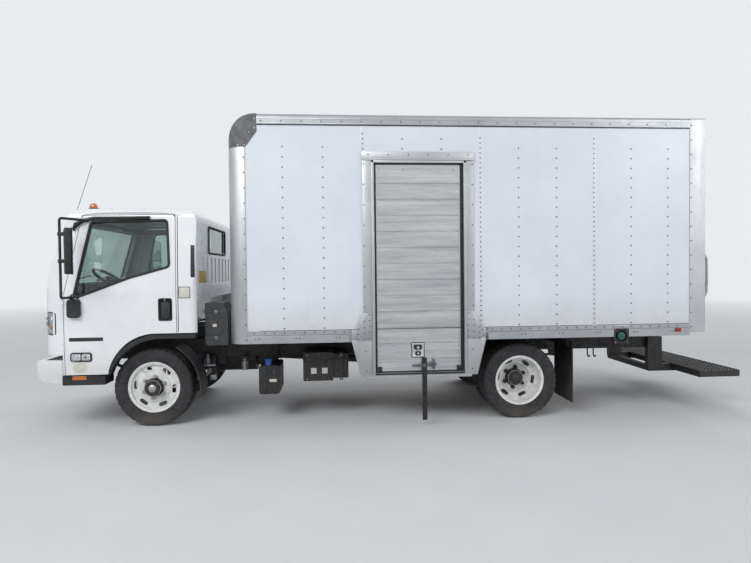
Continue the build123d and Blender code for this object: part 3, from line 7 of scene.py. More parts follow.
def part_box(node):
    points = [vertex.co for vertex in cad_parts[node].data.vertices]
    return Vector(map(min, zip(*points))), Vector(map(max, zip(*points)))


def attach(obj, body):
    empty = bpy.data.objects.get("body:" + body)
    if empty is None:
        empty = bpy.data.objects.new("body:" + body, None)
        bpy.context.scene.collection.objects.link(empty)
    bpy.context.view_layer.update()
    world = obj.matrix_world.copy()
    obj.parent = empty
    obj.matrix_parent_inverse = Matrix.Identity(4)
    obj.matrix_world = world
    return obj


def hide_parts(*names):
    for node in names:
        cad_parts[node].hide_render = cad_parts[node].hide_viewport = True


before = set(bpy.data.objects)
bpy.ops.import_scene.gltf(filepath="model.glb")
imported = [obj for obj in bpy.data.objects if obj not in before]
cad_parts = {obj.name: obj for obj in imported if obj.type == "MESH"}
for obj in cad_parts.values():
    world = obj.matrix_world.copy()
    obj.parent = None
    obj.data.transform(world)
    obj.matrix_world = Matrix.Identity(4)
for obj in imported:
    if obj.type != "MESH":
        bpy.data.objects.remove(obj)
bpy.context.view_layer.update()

# Box truck, nose to -X, driver's side -Y. Lengths are millimetres, and MM turns them into Blender's metres.
MM = 0.001


def corners(node):
    """The lowest and highest corner of a CAD node in millimetres."""
    low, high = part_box(node)
    return low / MM, high / MM


# Places taken from the frame
tyre_low, tyre_high = corners("front_tyre_left")
front_axle_x = (tyre_low.x + tyre_high.x) / 2
wheel_radius = tyre_high.z / 2
dual_low, dual_high = corners("rear_tyres_left")
rear_axle_x = (dual_low.x + dual_high.x) / 2
wall_low, wall_high = corners("box_wall_left")
rails_low, rails_high = corners("box_rails")
nose_low, nose_high = corners("box_front_wall")
rear_low, rear_high = corners("rear_frame")
door_low, door_high = corners("side_door")
jamb_low, jamb_high = corners("side_door_frame")


def behind(distance):
    """A place measured back from the front axle, in millimetres."""
    return front_axle_x + distance


def linear(hex_colour):
    """An sRGB hex colour as the linear values that shader sockets take."""
    shares = [int(hex_colour[i:i + 2], 16) / 255 for i in (1, 3, 5)]
    return (*[s / 12.92 if s <= 0.04045 else ((s + 0.055) / 1.055) ** 2.4 for s in shares], 1.0)


def add(tree, kind, inputs=None, **options):
    """Adds a node. inputs gives sockets a value, a hex colour or the output that feeds them."""
    node = tree.nodes.new("ShaderNode" + kind)
    for option, value in options.items():
        setattr(node, option, value)
    for socket, value in (inputs or {}).items():
        if isinstance(value, bpy.types.NodeSocket):
            tree.links.new(value, node.inputs[socket])
        else:
            node.inputs[socket].default_value = linear(value) if isinstance(value, str) else value
    return node


def placed(name, data):
    """A new object in the scene that shows a mesh, curve, lamp or camera."""
    piece = bpy.data.objects.new(name, data)
    bpy.context.scene.collection.objects.link(piece)
    return piece


# Camera: where the photographer stood, in metres, with the lens and turns found from the photo
PHOTO_WIDTH = 751
FOCAL_PIXELS = 544.9
CAMERA_PLACE = (-0.7067, -6.6689, 1.5871)
CAMERA_YAW = 4.32
CAMERA_PITCH = 1.24
CAMERA_ROLL = -0.60


def make_camera():
    """The photo's camera: it looks along +Y, a little to the right and down."""
    yaw, pitch, roll = radians(CAMERA_YAW), radians(CAMERA_PITCH), radians(CAMERA_ROLL)
    level_forward = Vector((sin(yaw), cos(yaw), 0))
    level_right = Vector((cos(yaw), -sin(yaw), 0))
    up = Vector((0, 0, 1))
    forward = level_forward * cos(pitch) - up * sin(pitch)
    tipped_up = up * cos(pitch) + level_forward * sin(pitch)
    right = level_right * cos(roll) + tipped_up * sin(roll)
    top = tipped_up * cos(roll) - level_right * sin(roll)
    lens = bpy.data.cameras.new("photo_camera")
    lens.sensor_width = 36
    lens.lens = FOCAL_PIXELS / PHOTO_WIDTH * lens.sensor_width
    camera = placed("photo_camera", lens)
    turn = Matrix((right, top, -forward)).transposed().to_4x4()
    camera.matrix_world = Matrix.Translation(CAMERA_PLACE) @ turn
    bpy.context.scene.camera = camera


def clear():
    """Leaves object mode with nothing selected."""
    if bpy.context.mode != "OBJECT":
        bpy.ops.object.mode_set(mode="OBJECT")
    bpy.ops.object.select_all(action="DESELECT")


def pick(*pieces):
    """Selects these pieces alone, the first one active."""
    clear()
    for piece in pieces:
        piece.select_set(True)
    bpy.context.view_layer.objects.active = pieces[0]


def settle(piece):
    """Puts a piece's place, turn and size into its mesh."""
    pick(piece)
    bpy.ops.object.transform_apply(location=True, rotation=True, scale=True)


def apply_modifier(piece, kind, **options):
    """Gives a piece one modifier and applies it."""
    pick(piece)
    modifier = piece.modifiers.new(kind.lower(), kind)
    for option, value in options.items():
        setattr(modifier, option, value)
    bpy.ops.object.modifier_apply(modifier=modifier.name)
    return piece


def smooth(piece, angle=35):
    """Shades a piece smooth up to an angle between its faces."""
    pick(piece)
    bpy.ops.object.shade_smooth_by_angle(angle=radians(angle))
    return piece


def mend(piece):
    """Merges doubles and turns the faces outwards."""
    pick(piece)
    bpy.ops.object.mode_set(mode="EDIT")
    bpy.ops.mesh.select_all(action="SELECT")
    bpy.ops.mesh.remove_doubles(threshold=0.01 * MM)
    bpy.ops.mesh.normals_make_consistent(inside=False)
    bpy.ops.object.mode_set(mode="OBJECT")
    return piece


AXES = {"X": Vector((1, 0, 0)), "Y": Vector((0, 1, 0)), "Z": Vector((0, 0, 1))}


def choose_faces(piece, accept):
    """Enters edit mode with only those faces selected that accept(centre in mm, normal) allows."""
    pick(piece)
    mesh = piece.data
    mesh.vertices.foreach_set("select", [False] * len(mesh.vertices))
    mesh.edges.foreach_set("select", [False] * len(mesh.edges))
    for face in mesh.polygons:
        face.select = accept(face.center / MM, face.normal)
    bpy.ops.object.mode_set(mode="EDIT")
    bpy.ops.mesh.select_mode(type="FACE")


def inset(piece, way, thickness, depth):
    """Insets the flat faces that look one way, such as "Z" or "-Y", by a thickness and a depth."""
    direction = AXES[way[-1]] * (-1 if way[0] == "-" else 1)
    choose_faces(piece, lambda centre, normal: normal.dot(direction) > 0.95)
    bpy.ops.mesh.inset(thickness=thickness * MM, depth=depth * MM)
    bpy.ops.object.mode_set(mode="OBJECT")


def sunk(piece, accept, depth):
    """Sinks the faces that accept(centre in mm, normal) allows, by a depth in millimetres."""
    choose_faces(piece, accept)
    bpy.ops.mesh.extrude_region_shrink_fatten(TRANSFORM_OT_shrink_fatten={"value": -depth * MM})
    bpy.ops.object.mode_set(mode="OBJECT")


def bar(name, low, high, edge=2, segments=2):
    """A block between two corners with its edges rounded."""
    clear()
    middle = [(a + b) / 2 * MM for a, b in zip(low, high)]
    bpy.ops.mesh.primitive_cube_add(size=1, location=middle)
    piece = bpy.context.object
    piece.name = name
    piece.scale = [abs(b - a) * MM for a, b in zip(low, high)]
    settle(piece)
    thinnest = min(abs(b - a) for a, b in zip(low, high))
    apply_modifier(piece, "BEVEL", width=min(edge, thinnest * 0.45) * MM, segments=segments)
    return smooth(piece)


def chain(name, points):
    """A chain of edges through points in metres, left in edit mode and selected."""
    clear()
    bpy.ops.mesh.primitive_plane_add(size=0.01, location=points[0])
    piece = bpy.context.object
    piece.name = name
    settle(piece)
    bpy.ops.object.mode_set(mode="EDIT")
    bpy.ops.mesh.select_mode(type="VERT")
    bpy.ops.mesh.select_all(action="SELECT")
    bpy.ops.mesh.merge(type="CENTER")
    for start, end in zip(points, points[1:]):
        bpy.ops.mesh.extrude_vertices_move(TRANSFORM_OT_translate={"value": end - start})
    bpy.ops.mesh.select_all(action="SELECT")
    return piece


def turned(name, centre, axis, profile, steps=48):
    """A turned piece: profile gives (distance along the axis, radius) in order and is spun round it."""
    along = AXES[axis] if isinstance(axis, str) else Vector(axis).normalized()
    out = along.orthogonal().normalized()
    piece = chain(name, [(Vector(centre) + along * a + out * r) * MM for a, r in profile])
    bpy.ops.mesh.spin(steps=steps, angle=2 * pi, center=Vector(centre) * MM, axis=along, use_auto_merge=True)
    bpy.ops.object.mode_set(mode="OBJECT")
    return smooth(mend(piece))


def prism(name, outline, low, high, plane="XZ", edge=2, segments=2):
    """A flat outline in millimetres carried from one depth to another, with its edges rounded."""
    across, up, away = {"XZ": "XZY", "YZ": "YZX", "XY": "XYZ"}[plane]
    away = AXES[away]
    piece = chain(name, [(AXES[across] * u + AXES[up] * v + away * low) * MM for u, v in outline])
    bpy.ops.mesh.edge_face_add()
    bpy.ops.mesh.extrude_region_move(TRANSFORM_OT_translate={"value": away * (high - low) * MM})
    mend(piece)
    if edge:
        apply_modifier(piece, "BEVEL", width=edge * MM, segments=segments, limit_method="ANGLE")
    return smooth(piece)


def curve(name, points, soft=True, closed=False, resolution=6):
    """A curve through points in millimetres: soft rounds its corners, closed joins its ends."""
    clear()
    line = bpy.data.curves.new(name, "CURVE")
    line.dimensions = "3D"
    spline = line.splines.new("NURBS" if soft else "POLY")
    spline.points.add(len(points) - 1)
    for point, place in zip(spline.points, points):
        point.co = (*[c * MM for c in place], 1)
    spline.use_cyclic_u = closed
    if soft:
        spline.order_u = 3
        spline.use_endpoint_u = not closed
        spline.resolution_u = resolution
    return placed(name, line)


def tube(name, points, radius, soft=True, closed=False, sides=2):
    """A round bar, pipe or seal along a curve through points in millimetres."""
    piece = curve(name, points, soft, closed)
    piece.data.bevel_depth = radius * MM
    piece.data.bevel_resolution = sides
    piece.data.use_fill_caps = True
    pick(piece)
    bpy.ops.object.convert(target="MESH")
    return smooth(mend(bpy.context.object), 60)


def twin_of(piece, name):
    """A copy with its own mesh, in the same place."""
    twin = piece.copy()
    twin.data = piece.data.copy()
    twin.name = name
    bpy.context.scene.collection.objects.link(twin)
    return twin


def copied(piece, name, move=(0, 0, 0), turn=0, axis="Z", pivot=(0, 0, 0)):
    """A copy moved and turned round a pivot, by degrees."""
    twin = twin_of(piece, name)
    about = Matrix.Translation(Vector(pivot) * MM)
    spin = Matrix.Rotation(radians(turn), 4, AXES[axis])
    twin.matrix_world = Matrix.Translation(Vector(move) * MM) @ about @ spin @ about.inverted()
    settle(twin)
    return twin


def swung(piece, name, **turn):
    """The piece itself turned as copied turns a copy."""
    twin = copied(piece, name, **turn)
    bpy.data.objects.remove(piece)
    return twin


def mirrored(piece, name):
    """The same piece on the truck's other side."""
    twin = twin_of(piece, name)
    twin.scale = (1, -1, 1)
    settle(twin)
    pick(twin)
    bpy.ops.object.mode_set(mode="EDIT")
    bpy.ops.mesh.select_all(action="SELECT")
    bpy.ops.mesh.normals_make_consistent(inside=False)
    bpy.ops.object.mode_set(mode="OBJECT")
    return twin


def joined(name, pieces):
    """Several meshes as one piece."""
    pick(*pieces)
    bpy.ops.object.join()
    piece = bpy.context.object
    piece.name = name
    return piece


def arrayed(piece, count, step):
    """A piece repeated along a step, as one mesh."""
    if count > 1:
        apply_modifier(piece, "ARRAY", count=count, use_relative_offset=False, use_constant_offset=True,
                       constant_offset_displace=Vector(step) * MM)
    return piece


def finished(piece, body, material, slot, *replaced):
    """Gives a piece its finish, the body that it rides on and the nodes that it stands for."""
    piece.data.materials.clear()
    piece.data.materials.append(material)
    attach(piece, body)
    if replaced:
        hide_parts(*replaced)
    return piece


def made(name, pieces, body, material, slot, *replaced):
    """Several meshes joined into one finished piece."""
    return finished(joined(name, pieces), body, material, slot, *replaced)


def pair(piece, name, body, material, slot, *replaced):
    """Finishes a left piece and its twin on the right: {} stands for the side in a body or node."""
    piece.name = f"{name}_left"
    for twin, side in ((piece, "left"), (mirrored(piece, f"{name}_right"), "right")):
        finished(twin, body.format(side), material, slot, *[node.format(side) for node in replaced])


# Finishes. Patterns read Object coordinates, in metres, so a noise scale is one over a size in metres.
# A socket knows the node tree that it belongs to as its id_data.
def start_finish(name, roughness, metallic=0.0, **sockets):
    """A new material with its shader's even sockets set: it returns the material, its shader and place."""
    material = bpy.data.materials.new(name)
    material.use_nodes = True
    tree = material.node_tree
    shader = tree.nodes["Principled BSDF"]
    shader.inputs["Roughness"].default_value = roughness
    shader.inputs["Metallic"].default_value = metallic
    for socket, value in sockets.items():
        shader.inputs[socket.replace("_", " ")].default_value = value
    return material, shader, add(tree, "TexCoord").outputs["Object"]


def grain(place, size, stretch=(1, 1, 1), detail=3.0):
    """Noise whose grains are size millimetres wide, drawn out along an axis where its stretch is above 1."""
    tree = place.id_data
    shaped = add(tree, "Mapping", {"Vector": place, "Scale": [1 / s for s in stretch]}).outputs[0]
    settings = {"Vector": shaped, "Scale": 1 / (size * MM), "Detail": detail, "Roughness": 0.6}
    return add(tree, "TexNoise", settings).outputs[0]


def ridges(place, pitch, direction, profile="SIN"):
    """Even ridges or lines, pitch millimetres apart."""
    settings = {"Vector": place, "Scale": 1 / (pitch * MM) / (2 * pi), "Distortion": 0.0}
    return add(place.id_data, "TexWave", settings, bands_direction=direction, wave_profile=profile).outputs[1]


def mottled(pattern, first, second, low=0.3, high=0.7, most=1.0):
    """A colour that turns into a second one where a pattern rises from low to high, by a share up to most."""
    tree = pattern.id_data
    ends = {"Value": pattern, "From Min": low, "From Max": high, "To Max": most}
    share = add(tree, "MapRange", ends).outputs[0]
    return add(tree, "Mix", {0: share, 6: first, 7: second}, data_type="RGBA").outputs[2]


def multiplied(first, second):
    """The product of two patterns."""
    return add(first.id_data, "Math", {0: first, 1: second}, operation="MULTIPLY").outputs[0]


def dusty(place, colour, dust, low, high, most):
    """Road dust on a colour: thick and patchy at the height low in millimetres, gone at high."""
    tree = place.id_data
    height = add(tree, "SeparateXYZ", {0: place}).outputs[2]
    ends = {"Value": height, "From Min": high * MM, "From Max": low * MM}
    depth = add(tree, "MapRange", ends).outputs[0]
    patches = multiplied(grain(place, 160, detail=6), depth)
    return mottled(patches, colour, dust, 0.05, 0.6, most)


def finish_surface(shader, colour, gloss=None, relief=None):
    """Feeds the shader: a colour, gloss as (pattern, low, high) roughness and relief as (pattern, depth)."""
    tree = colour.id_data
    tree.links.new(colour, shader.inputs["Base Color"])
    if gloss:
        pattern, low, high = gloss
        ends = {"Value": pattern, "From Min": 0.3, "From Max": 0.7, "To Min": low, "To Max": high}
        tree.links.new(add(tree, "MapRange", ends).outputs[0], shader.inputs["Roughness"])
    if relief:
        pattern, depth = relief
        bump = add(tree, "Bump", {"Height": pattern, "Distance": depth * MM, "Strength": 1.0})
        tree.links.new(bump.outputs[0], shader.inputs["Normal"])


def white_cab_enamel():
    """Sprayed and baked enamel on pressed steel: glossy, faint orange peel, road dust along the skirts."""
    material, shader, place = start_finish("white_cab_enamel", 0.3, Coat_Weight=0.5, Coat_Roughness=0.08)
    tone = mottled(grain(place, 420), "#DFE2E6", "#E8EAEC")
    runs = grain(place, 35, stretch=(1, 1, 14))
    tone = mottled(runs, tone, "#CDCFD1", 0.6, 0.85, 0.18)
    tone = dusty(place, tone, "#A39C92", 480, 900, 0.4)
    finish_surface(shader, tone, (grain(place, 90), 0.24, 0.38), (grain(place, 7), 0.05))
    return material


def prepainted_box_sheet():
    """Prepainted aluminium sheet on the box: white with a cool bluish grey that is partly painted shade and
    sky reflection, slightly wavy, with grime low down.
    """
    material, shader, place = start_finish("prepainted_box_sheet", 0.36, Coat_Weight=0.25, Coat_Roughness=0.2)
    # The bluish grey of both tones is painted shade and sky reflection laid on the white sheet; their random
    # mottling is the sheet's own.
    tone = mottled(grain(place, 700), "#D3D8E0", "#DDE1E8")
    runs = grain(place, 45, stretch=(1, 1, 22), detail=5)
    tone = mottled(runs, tone, "#BCC1C8", 0.56, 0.86, 0.22)
    tone = dusty(place, tone, "#A7A39C", 980, 1350, 0.35)
    waves = grain(place, 520, stretch=(1, 1, 1.6), detail=1.5)
    finish_surface(shader, tone, (grain(place, 240), 0.3, 0.46), (waves, 3.5))
    return material


def extruded_aluminium(name, colour, shade, rough_low, rough_high, stretch):
    """Mill-finish aluminium: fine die lines along the stretch, faint oxide patches and a few stains."""
    material, shader, place = start_finish(name, rough_low, metallic=1.0)
    tone = mottled(grain(place, 260, detail=6), colour, shade, 0.4, 0.8, 0.45)
    lines = grain(place, 5, stretch=stretch, detail=2)
    tone = mottled(lines, tone, shade, most=0.3)
    tone = mottled(grain(place, 70, detail=7), tone, "#6E6A64", 0.62, 0.8, 0.35)
    worn = grain(place, 60, stretch=stretch, detail=4)
    finish_surface(shader, tone, (worn, rough_low, rough_high), (lines, 0.12))
    return material


def brushed_door_slat():
    """Bare rolled aluminium slats: scuffed and rubbed flat, with shallow dents from loads and hands."""
    material, shader, place = start_finish("brushed_door_slat", 0.4, metallic=1.0)
    tone = mottled(grain(place, 60, stretch=(14, 1, 1), detail=5), "#D2D3D4", "#A9ABAE", 0.35, 0.75)
    scuffs = grain(place, 5, stretch=(26, 1, 1), detail=5)
    tone = mottled(scuffs, tone, "#7C7E82", 0.5, 0.8, 0.55)
    dents = grain(place, 130, stretch=(3, 1, 1), detail=2)
    finish_surface(shader, tone, (scuffs, 0.28, 0.5), (dents, 2.2))
    return material


def moulded_plastic(name, colour, worn, roughness):
    """Moulded plastic, paler where weathered: its leather-like grain is coarser than life, to show."""
    material, shader, place = start_finish(name, roughness, IOR=1.5)
    tone = mottled(grain(place, 70, detail=5), colour, worn, 0.4, 0.75)
    gloss = (grain(place, 40), roughness - 0.06, roughness + 0.1)
    finish_surface(shader, tone, gloss, (grain(place, 2.2), 0.18))
    return material


def seal_rubber():
    """Extruded weather-strip rubber: matt black with a slight bloom."""
    material, shader, place = start_finish("seal_rubber", 0.62, IOR=1.52)
    tone = mottled(grain(place, 30, detail=4), "#141516", "#2A2B2C", 0.45, 0.8)
    finish_surface(shader, tone, relief=(grain(place, 3), 0.1))
    return material


def tyre_rubber():
    """Tyre rubber: charcoal, chalky with dust in the grooves and on the lower wall."""
    material, shader, place = start_finish("tyre_rubber", 0.8, IOR=1.52)
    tone = mottled(grain(place, 60, detail=6), "#1C1D1E", "#34343A", 0.35, 0.75)
    tone = mottled(grain(place, 22, detail=5), tone, "#5A5650", 0.5, 0.8, 0.5)
    tone = dusty(place, tone, "#6E675D", 0, 160, 0.6)
    finish_surface(shader, tone, relief=(grain(place, 4), 0.2))
    return material


def flap_rubber():
    """Moulded rubber and plastic guards: black, scuffed, with dried spray along the lower edge."""
    material, shader, place = start_finish("flap_rubber", 0.66, IOR=1.5)
    tone = mottled(grain(place, 45, detail=5), "#131417", "#2A2B2E", 0.4, 0.8)
    tone = dusty(place, tone, "#5D574E", 150, 620, 0.5)
    finish_surface(shader, tone, relief=(grain(place, 6), 0.3))
    return material


def chassis_paint():
    """Black chassis paint over steel: satin, with dried road dust and a little rust at its scratches."""
    material, shader, place = start_finish("chassis_paint", 0.5)
    tone = mottled(grain(place, 80, detail=6), "#17181A", "#2B2C2E", 0.35, 0.75)
    tone = mottled(grain(place, 36, detail=6), tone, "#5C554B", 0.48, 0.8, 0.55)
    tone = mottled(grain(place, 14, detail=8), tone, "#5B3520", 0.66, 0.74, 0.7)
    finish_surface(shader, tone, (grain(place, 50), 0.42, 0.7), (grain(place, 5), 0.25))
    return material


def rusted_step_steel():
    """Black painted steel of the rear step, worn through to brown rust along its rubbed rear edge."""
    material, shader, place = start_finish("rusted_step_steel", 0.6)
    tone = mottled(grain(place, 60, detail=6), "#1B1C1E", "#313234", 0.35, 0.75)
    tree = material.node_tree
    along = add(tree, "SeparateXYZ", {0: place}).outputs[0]
    edge_x = corners("rear_step")[1].x * MM
    near = add(tree, "MapRange", {"Value": along, "From Min": edge_x - 0.12, "From Max": edge_x}).outputs[0]
    speckle = grain(place, 24, detail=8)
    worn = multiplied(near, speckle)
    tone = mottled(worn, tone, "#46362D", 0.3, 0.5, 0.8)
    tone = mottled(grain(place, 40, detail=5), tone, "#5B554C", 0.5, 0.85, 0.4)
    finish_surface(shader, tone, relief=(grain(place, 6), 0.4))
    return material


def wheel_enamel():
    """White wheel enamel: brake dust and grime round the hub and in the dish."""
    material, shader, place = start_finish("wheel_enamel", 0.38, Coat_Weight=0.3, Coat_Roughness=0.15)
    tone = mottled(grain(place, 60), "#DBDCDB", "#E6E7E7")
    tone = mottled(grain(place, 38, detail=6), tone, "#9A9389", 0.42, 0.8, 0.55)
    tone = mottled(grain(place, 12, detail=8), tone, "#7A4E33", 0.66, 0.73, 0.6)
    finish_surface(shader, tone, (grain(place, 50), 0.32, 0.55), (grain(place, 8), 0.1))
    return material


def cast_hub():
    """Cast hub iron under old paint: dark, oily and rough."""
    material, shader, place = start_finish("cast_hub", 0.55, metallic=0.35)
    tone = mottled(grain(place, 18, detail=6), "#26282A", "#4A4640", 0.35, 0.75)
    finish_surface(shader, tone, relief=(grain(place, 4, detail=5), 0.6))
    return material


def zinc_plate(name, colour, stain):
    """Zinc-plated fasteners and rivets: dull silver, a little stained."""
    material, shader, place = start_finish(name, 0.38, metallic=1.0)
    tone = mottled(grain(place, 25, detail=4), colour, stain, 0.4, 0.75)
    finish_surface(shader, tone, (grain(place, 12), 0.3, 0.5))
    return material


def chrome_plate():
    """Chrome plating: a clear mirror with faint wipe marks."""
    material, shader, place = start_finish("chrome_plate", 0.1, metallic=1.0)
    tone = mottled(grain(place, 40), "#DADCDE", "#C4C7CA")
    finish_surface(shader, tone, (grain(place, 15, stretch=(4, 1, 1)), 0.07, 0.2))
    return material


def galvanised_steel():
    """Hot-dip galvanised steel: grey with the zinc's spangle, dulled by road film."""
    material, shader, place = start_finish("galvanised_steel", 0.5, metallic=0.8)
    tree = material.node_tree
    spangle = add(tree, "TexVoronoi", {"Vector": place, "Scale": 1 / (14 * MM)}).outputs["Color"]
    flakes = add(tree, "SeparateXYZ", {0: spangle}).outputs[0]
    tone = mottled(flakes, "#8E9296", "#A9ADB0")
    tone = mottled(grain(place, 60, detail=6), tone, "#6F6A62", 0.45, 0.8, 0.6)
    finish_surface(shader, tone, (flakes, 0.4, 0.62))
    return material


def aluminised_steel():
    """Aluminised exhaust steel: silver-grey, browned by heat and spray."""
    material, shader, place = start_finish("aluminised_steel", 0.48, metallic=0.9)
    tone = mottled(grain(place, 70, detail=6), "#8F9193", "#6C5A4A", 0.38, 0.7)
    finish_surface(shader, tone, relief=(grain(place, 6, detail=4), 0.2))
    return material


def lamp_plastic(name, colour, deep):
    """A coloured acrylic lens: glossy, with painted shade in a deeper colour in the grooves between the ribs
    of its inner face.
    """
    material, shader, place = start_finish(name, 0.12, IOR=1.49, Transmission_Weight=0.3, Coat_Weight=0.6)
    ribs = ridges(place, 7, "Z")
    # Painted shade: the deeper colour fills the grooves between the ribs, where the relief sinks.
    finish_surface(shader, mottled(ribs, deep, colour, 0.1, 0.9), relief=(ribs, 0.4))
    return material


def clear_lens():
    """A clear polycarbonate lens: nearly colourless, with a slight haze from stone dust."""
    material, shader, place = start_finish("clear_lens", 0.05, IOR=1.49, Transmission_Weight=1.0)
    haze = grain(place, 20, detail=5)
    finish_surface(shader, mottled(haze, "#F4F6F7", "#E2E6E8"), (haze, 0.02, 0.12))
    return material


def tinted_glass():
    """Laminated cab glass: clear with a faint green tint, wiped but not clean."""
    material, shader, place = start_finish("tinted_glass", 0.0, IOR=1.52, Transmission_Weight=1.0)
    film = grain(place, 180, detail=6)
    finish_surface(shader, mottled(film, "#C9D9D4", "#BCCBC8"), (film, 0.0, 0.04))
    return material


def silvered_mirror():
    """Silvered mirror glass: a cool clear reflection with a little dust."""
    material, shader, place = start_finish("silvered_mirror", 0.03, metallic=1.0)
    film = grain(place, 60, detail=5)
    finish_surface(shader, mottled(film, "#D5DADD", "#C3C8CB"), (film, 0.02, 0.09))
    return material


def lamp_reflector():
    """Vacuum-metallised plastic behind a lens: bright and faceted, with painted shading that darkens each
    facet towards its rim.
    """
    material, shader, place = start_finish("lamp_reflector", 0.16, metallic=1.0)
    tree = material.node_tree
    facets = add(tree, "TexVoronoi", {"Vector": place, "Scale": 1 / (16 * MM), "Randomness": 0.0}).outputs[0]
    # Painted shading: the tone runs from light at each facet's centre to darker at its rim.
    finish_surface(shader, mottled(facets, "#E2E4E6", "#C8CBCE"), relief=(facets, 2.0))
    return material


def woven_seat_cloth():
    """Woven polyester seat cloth in warm grey: a 3 mm basket weave, coarser than its 1 mm yarn to show, with
    painted shade between the yarns.
    """
    material, shader, place = start_finish("woven_seat_cloth", 0.9, Sheen_Weight=0.3)
    yarns = {0: ridges(place, 3, "Y"), 1: ridges(place, 3, "Z")}
    weave = add(material.node_tree, "Math", yarns, operation="MAXIMUM").outputs[0]
    patches = mottled(grain(place, 90, detail=4), "#8D8577", "#7A7367")
    # Painted shade: #57534C darkens the low places between the yarns of the weave.
    tone = mottled(weave, "#57534C", patches, 0.3, 0.9)
    finish_surface(shader, tone, relief=(weave, 0.5))
    return material


def strap_webbing():
    """Black polyester webbing: a ribbed weave across its width, near black in painted shade between the ribs,
    greyed with handling.
    """
    material, shader, place = start_finish("strap_webbing", 0.85, Sheen_Weight=0.2)
    ribs = ridges(place, 4, "Z")
    tone = mottled(grain(place, 40, detail=4), "#18181A", "#2C2C2F")
    # Painted shade: #08080A darkens the grooves between the ribs.
    finish_surface(shader, mottled(ribs, "#08080A", tone, 0.0, 0.6), relief=(ribs, 0.6))
    return material


def laminated_floor_wood():
    """Laminated hardwood floor boards: 35 mm strips along the truck, oiled and scuffed."""
    material, shader, place = start_finish("laminated_floor_wood", 0.55)
    figure = grain(place, 9, stretch=(30, 1, 1), detail=5)
    tone = mottled(figure, "#9A7148", "#6F4E30")
    tone = mottled(ridges(place, 35, "Y", "SAW"), tone, "#3A2A1C", 0.94, 1.0, 0.7)
    finish_surface(shader, tone, relief=(figure, 0.4))
    return material


def blank_label(name, colour, faded):
    """A bare vinyl label: even colour, faded and a little dirty, with nothing printed on it."""
    material, shader, place = start_finish(name, 0.45)
    finish_surface(shader, mottled(grain(place, 20, detail=4), colour, faded))
    return material


def studio_floor():
    """Pale matt studio floor that keeps the object's shadow."""
    material, shader, place = start_finish("studio_floor", 0.8)
    finish_surface(shader, mottled(grain(place, 900, detail=4), "#D3D5D7", "#D9DBDC"))
    return material


# The pull strap comes before the other pieces: its route repeats the source's points.
STRAP_WIDTH = 50
STRAP_THICKNESS = 6
strap_x = 193.5
strap_route = (
    (strap_x, -1222, 690),
    (strap_x, -1222, 620),
    (strap_x, -1231, 560),
    (strap_x, -1231, 60),
)


def pull_strap(finish):
    """The flat webbing strap that hangs from the latch."""
    guide = curve("strap_line", strap_route, resolution=16)
    bpy.context.view_layer.update()
    path = [v.co.copy() for v in bpy.data.meshes.new_from_object(guide).vertices]
    bpy.data.objects.remove(guide)
    strap = chain("pull_strap_webbing", [place - Vector((STRAP_WIDTH / 2 * MM, 0, 0)) for place in path])
    bpy.ops.mesh.extrude_region_move(TRANSFORM_OT_translate={"value": (STRAP_WIDTH * MM, 0, 0)})
    bpy.ops.object.mode_set(mode="OBJECT")
    mend(strap)
    apply_modifier(strap, "SOLIDIFY", thickness=STRAP_THICKNESS * MM, offset=0)
    apply_modifier(strap, "BEVEL", width=1.2 * MM, segments=2)
    finished(smooth(strap), "chassis", finish, "strap_web", "pull_strap")


# Wheels
TYRE_STEPS = 108
TREAD_HALF = 113
GROOVE_DEPTH = 11
CROWN_RADIUS = 400


def tyre(name, x, y):
    """A road tyre: grooves run round it and slots cross its shoulders."""
    wall = [(-73, 248), (-84, 252), (-89, 262), (-96, 280), (-106, 305), (-111.5, 332), (-112, 350),
            (-108, 371), (-101, 387), (-93, 394.5)]
    profile = list(wall)
    for middle in (-56, -19, 19, 56):
        crown = CROWN_RADIUS - (abs(middle) / TREAD_HALF) ** 2 * 7
        bottom = crown - GROOVE_DEPTH
        profile += [(middle - 7, crown), (middle - 5, bottom), (middle + 5, bottom), (middle + 7, crown)]
    profile += [(-a, r) for a, r in reversed(wall)]
    profile += [(60, 262), (-60, 262), (-73, 248)]
    piece = turned(name, (x, y, wheel_radius), "Y", profile, TYRE_STEPS)
    step = 2 * pi / TYRE_STEPS

    def slot(centre, normal):
        out = Vector((centre.x - x, centre.z - wheel_radius))
        if out.length < 384 or abs(centre.y - y) < 62:
            return False
        return int(atan2(out.y, out.x) / step + TYRE_STEPS) % 3 == 0

    sunk(piece, slot, 9)
    return smooth(piece, 40)


def all_tyres(finish):
    """Two front tyres and two pairs at the rear; one is modelled and the others are copies."""
    front_y = (tyre_low.y + tyre_high.y) / 2
    half = (tyre_high.y - tyre_low.y) / 2
    spread = (dual_high.y - dual_low.y) / 2 - half
    middle_y = (dual_low.y + dual_high.y) / 2
    axles_apart = rear_axle_x - front_axle_x
    model = tyre("road_tyre", front_axle_x, front_y)
    for side, word in ((1, "left"), (-1, "right")):
        front = copied(model, f"front_tyre_{word}_road", move=(0, side * front_y - front_y, 0))
        finished(front, f"front_{word}_wheel", finish, "tyre_rubber", f"front_tyre_{word}")
        duals = [copied(model, f"dual_{word}", move=(axles_apart, side * middle_y + reach - front_y, 0))
                 for reach in (-spread, spread)]
        node = f"rear_tyres_{word}"
        made(node + "_road", duals, f"rear_{word}_wheels", finish, "tyre_rubber", node)
    bpy.data.objects.remove(model)


# Cargo box
FACE_Y = jamb_low.y
PANEL_Y = wall_low.y
RAIL_Y = rails_low.y
CURTAIN_Y = door_low.y
column_x = [behind(1362 + 398 * index) for index in range(11)]
joint_columns = (2, 5, 8)
door_span = (door_low.x - 130, door_high.x + 120)
HEADER_HEIGHT = 84
SLAT_START = door_low.z + 137
SLAT_PITCH = 161
SLAT_GAP = 8


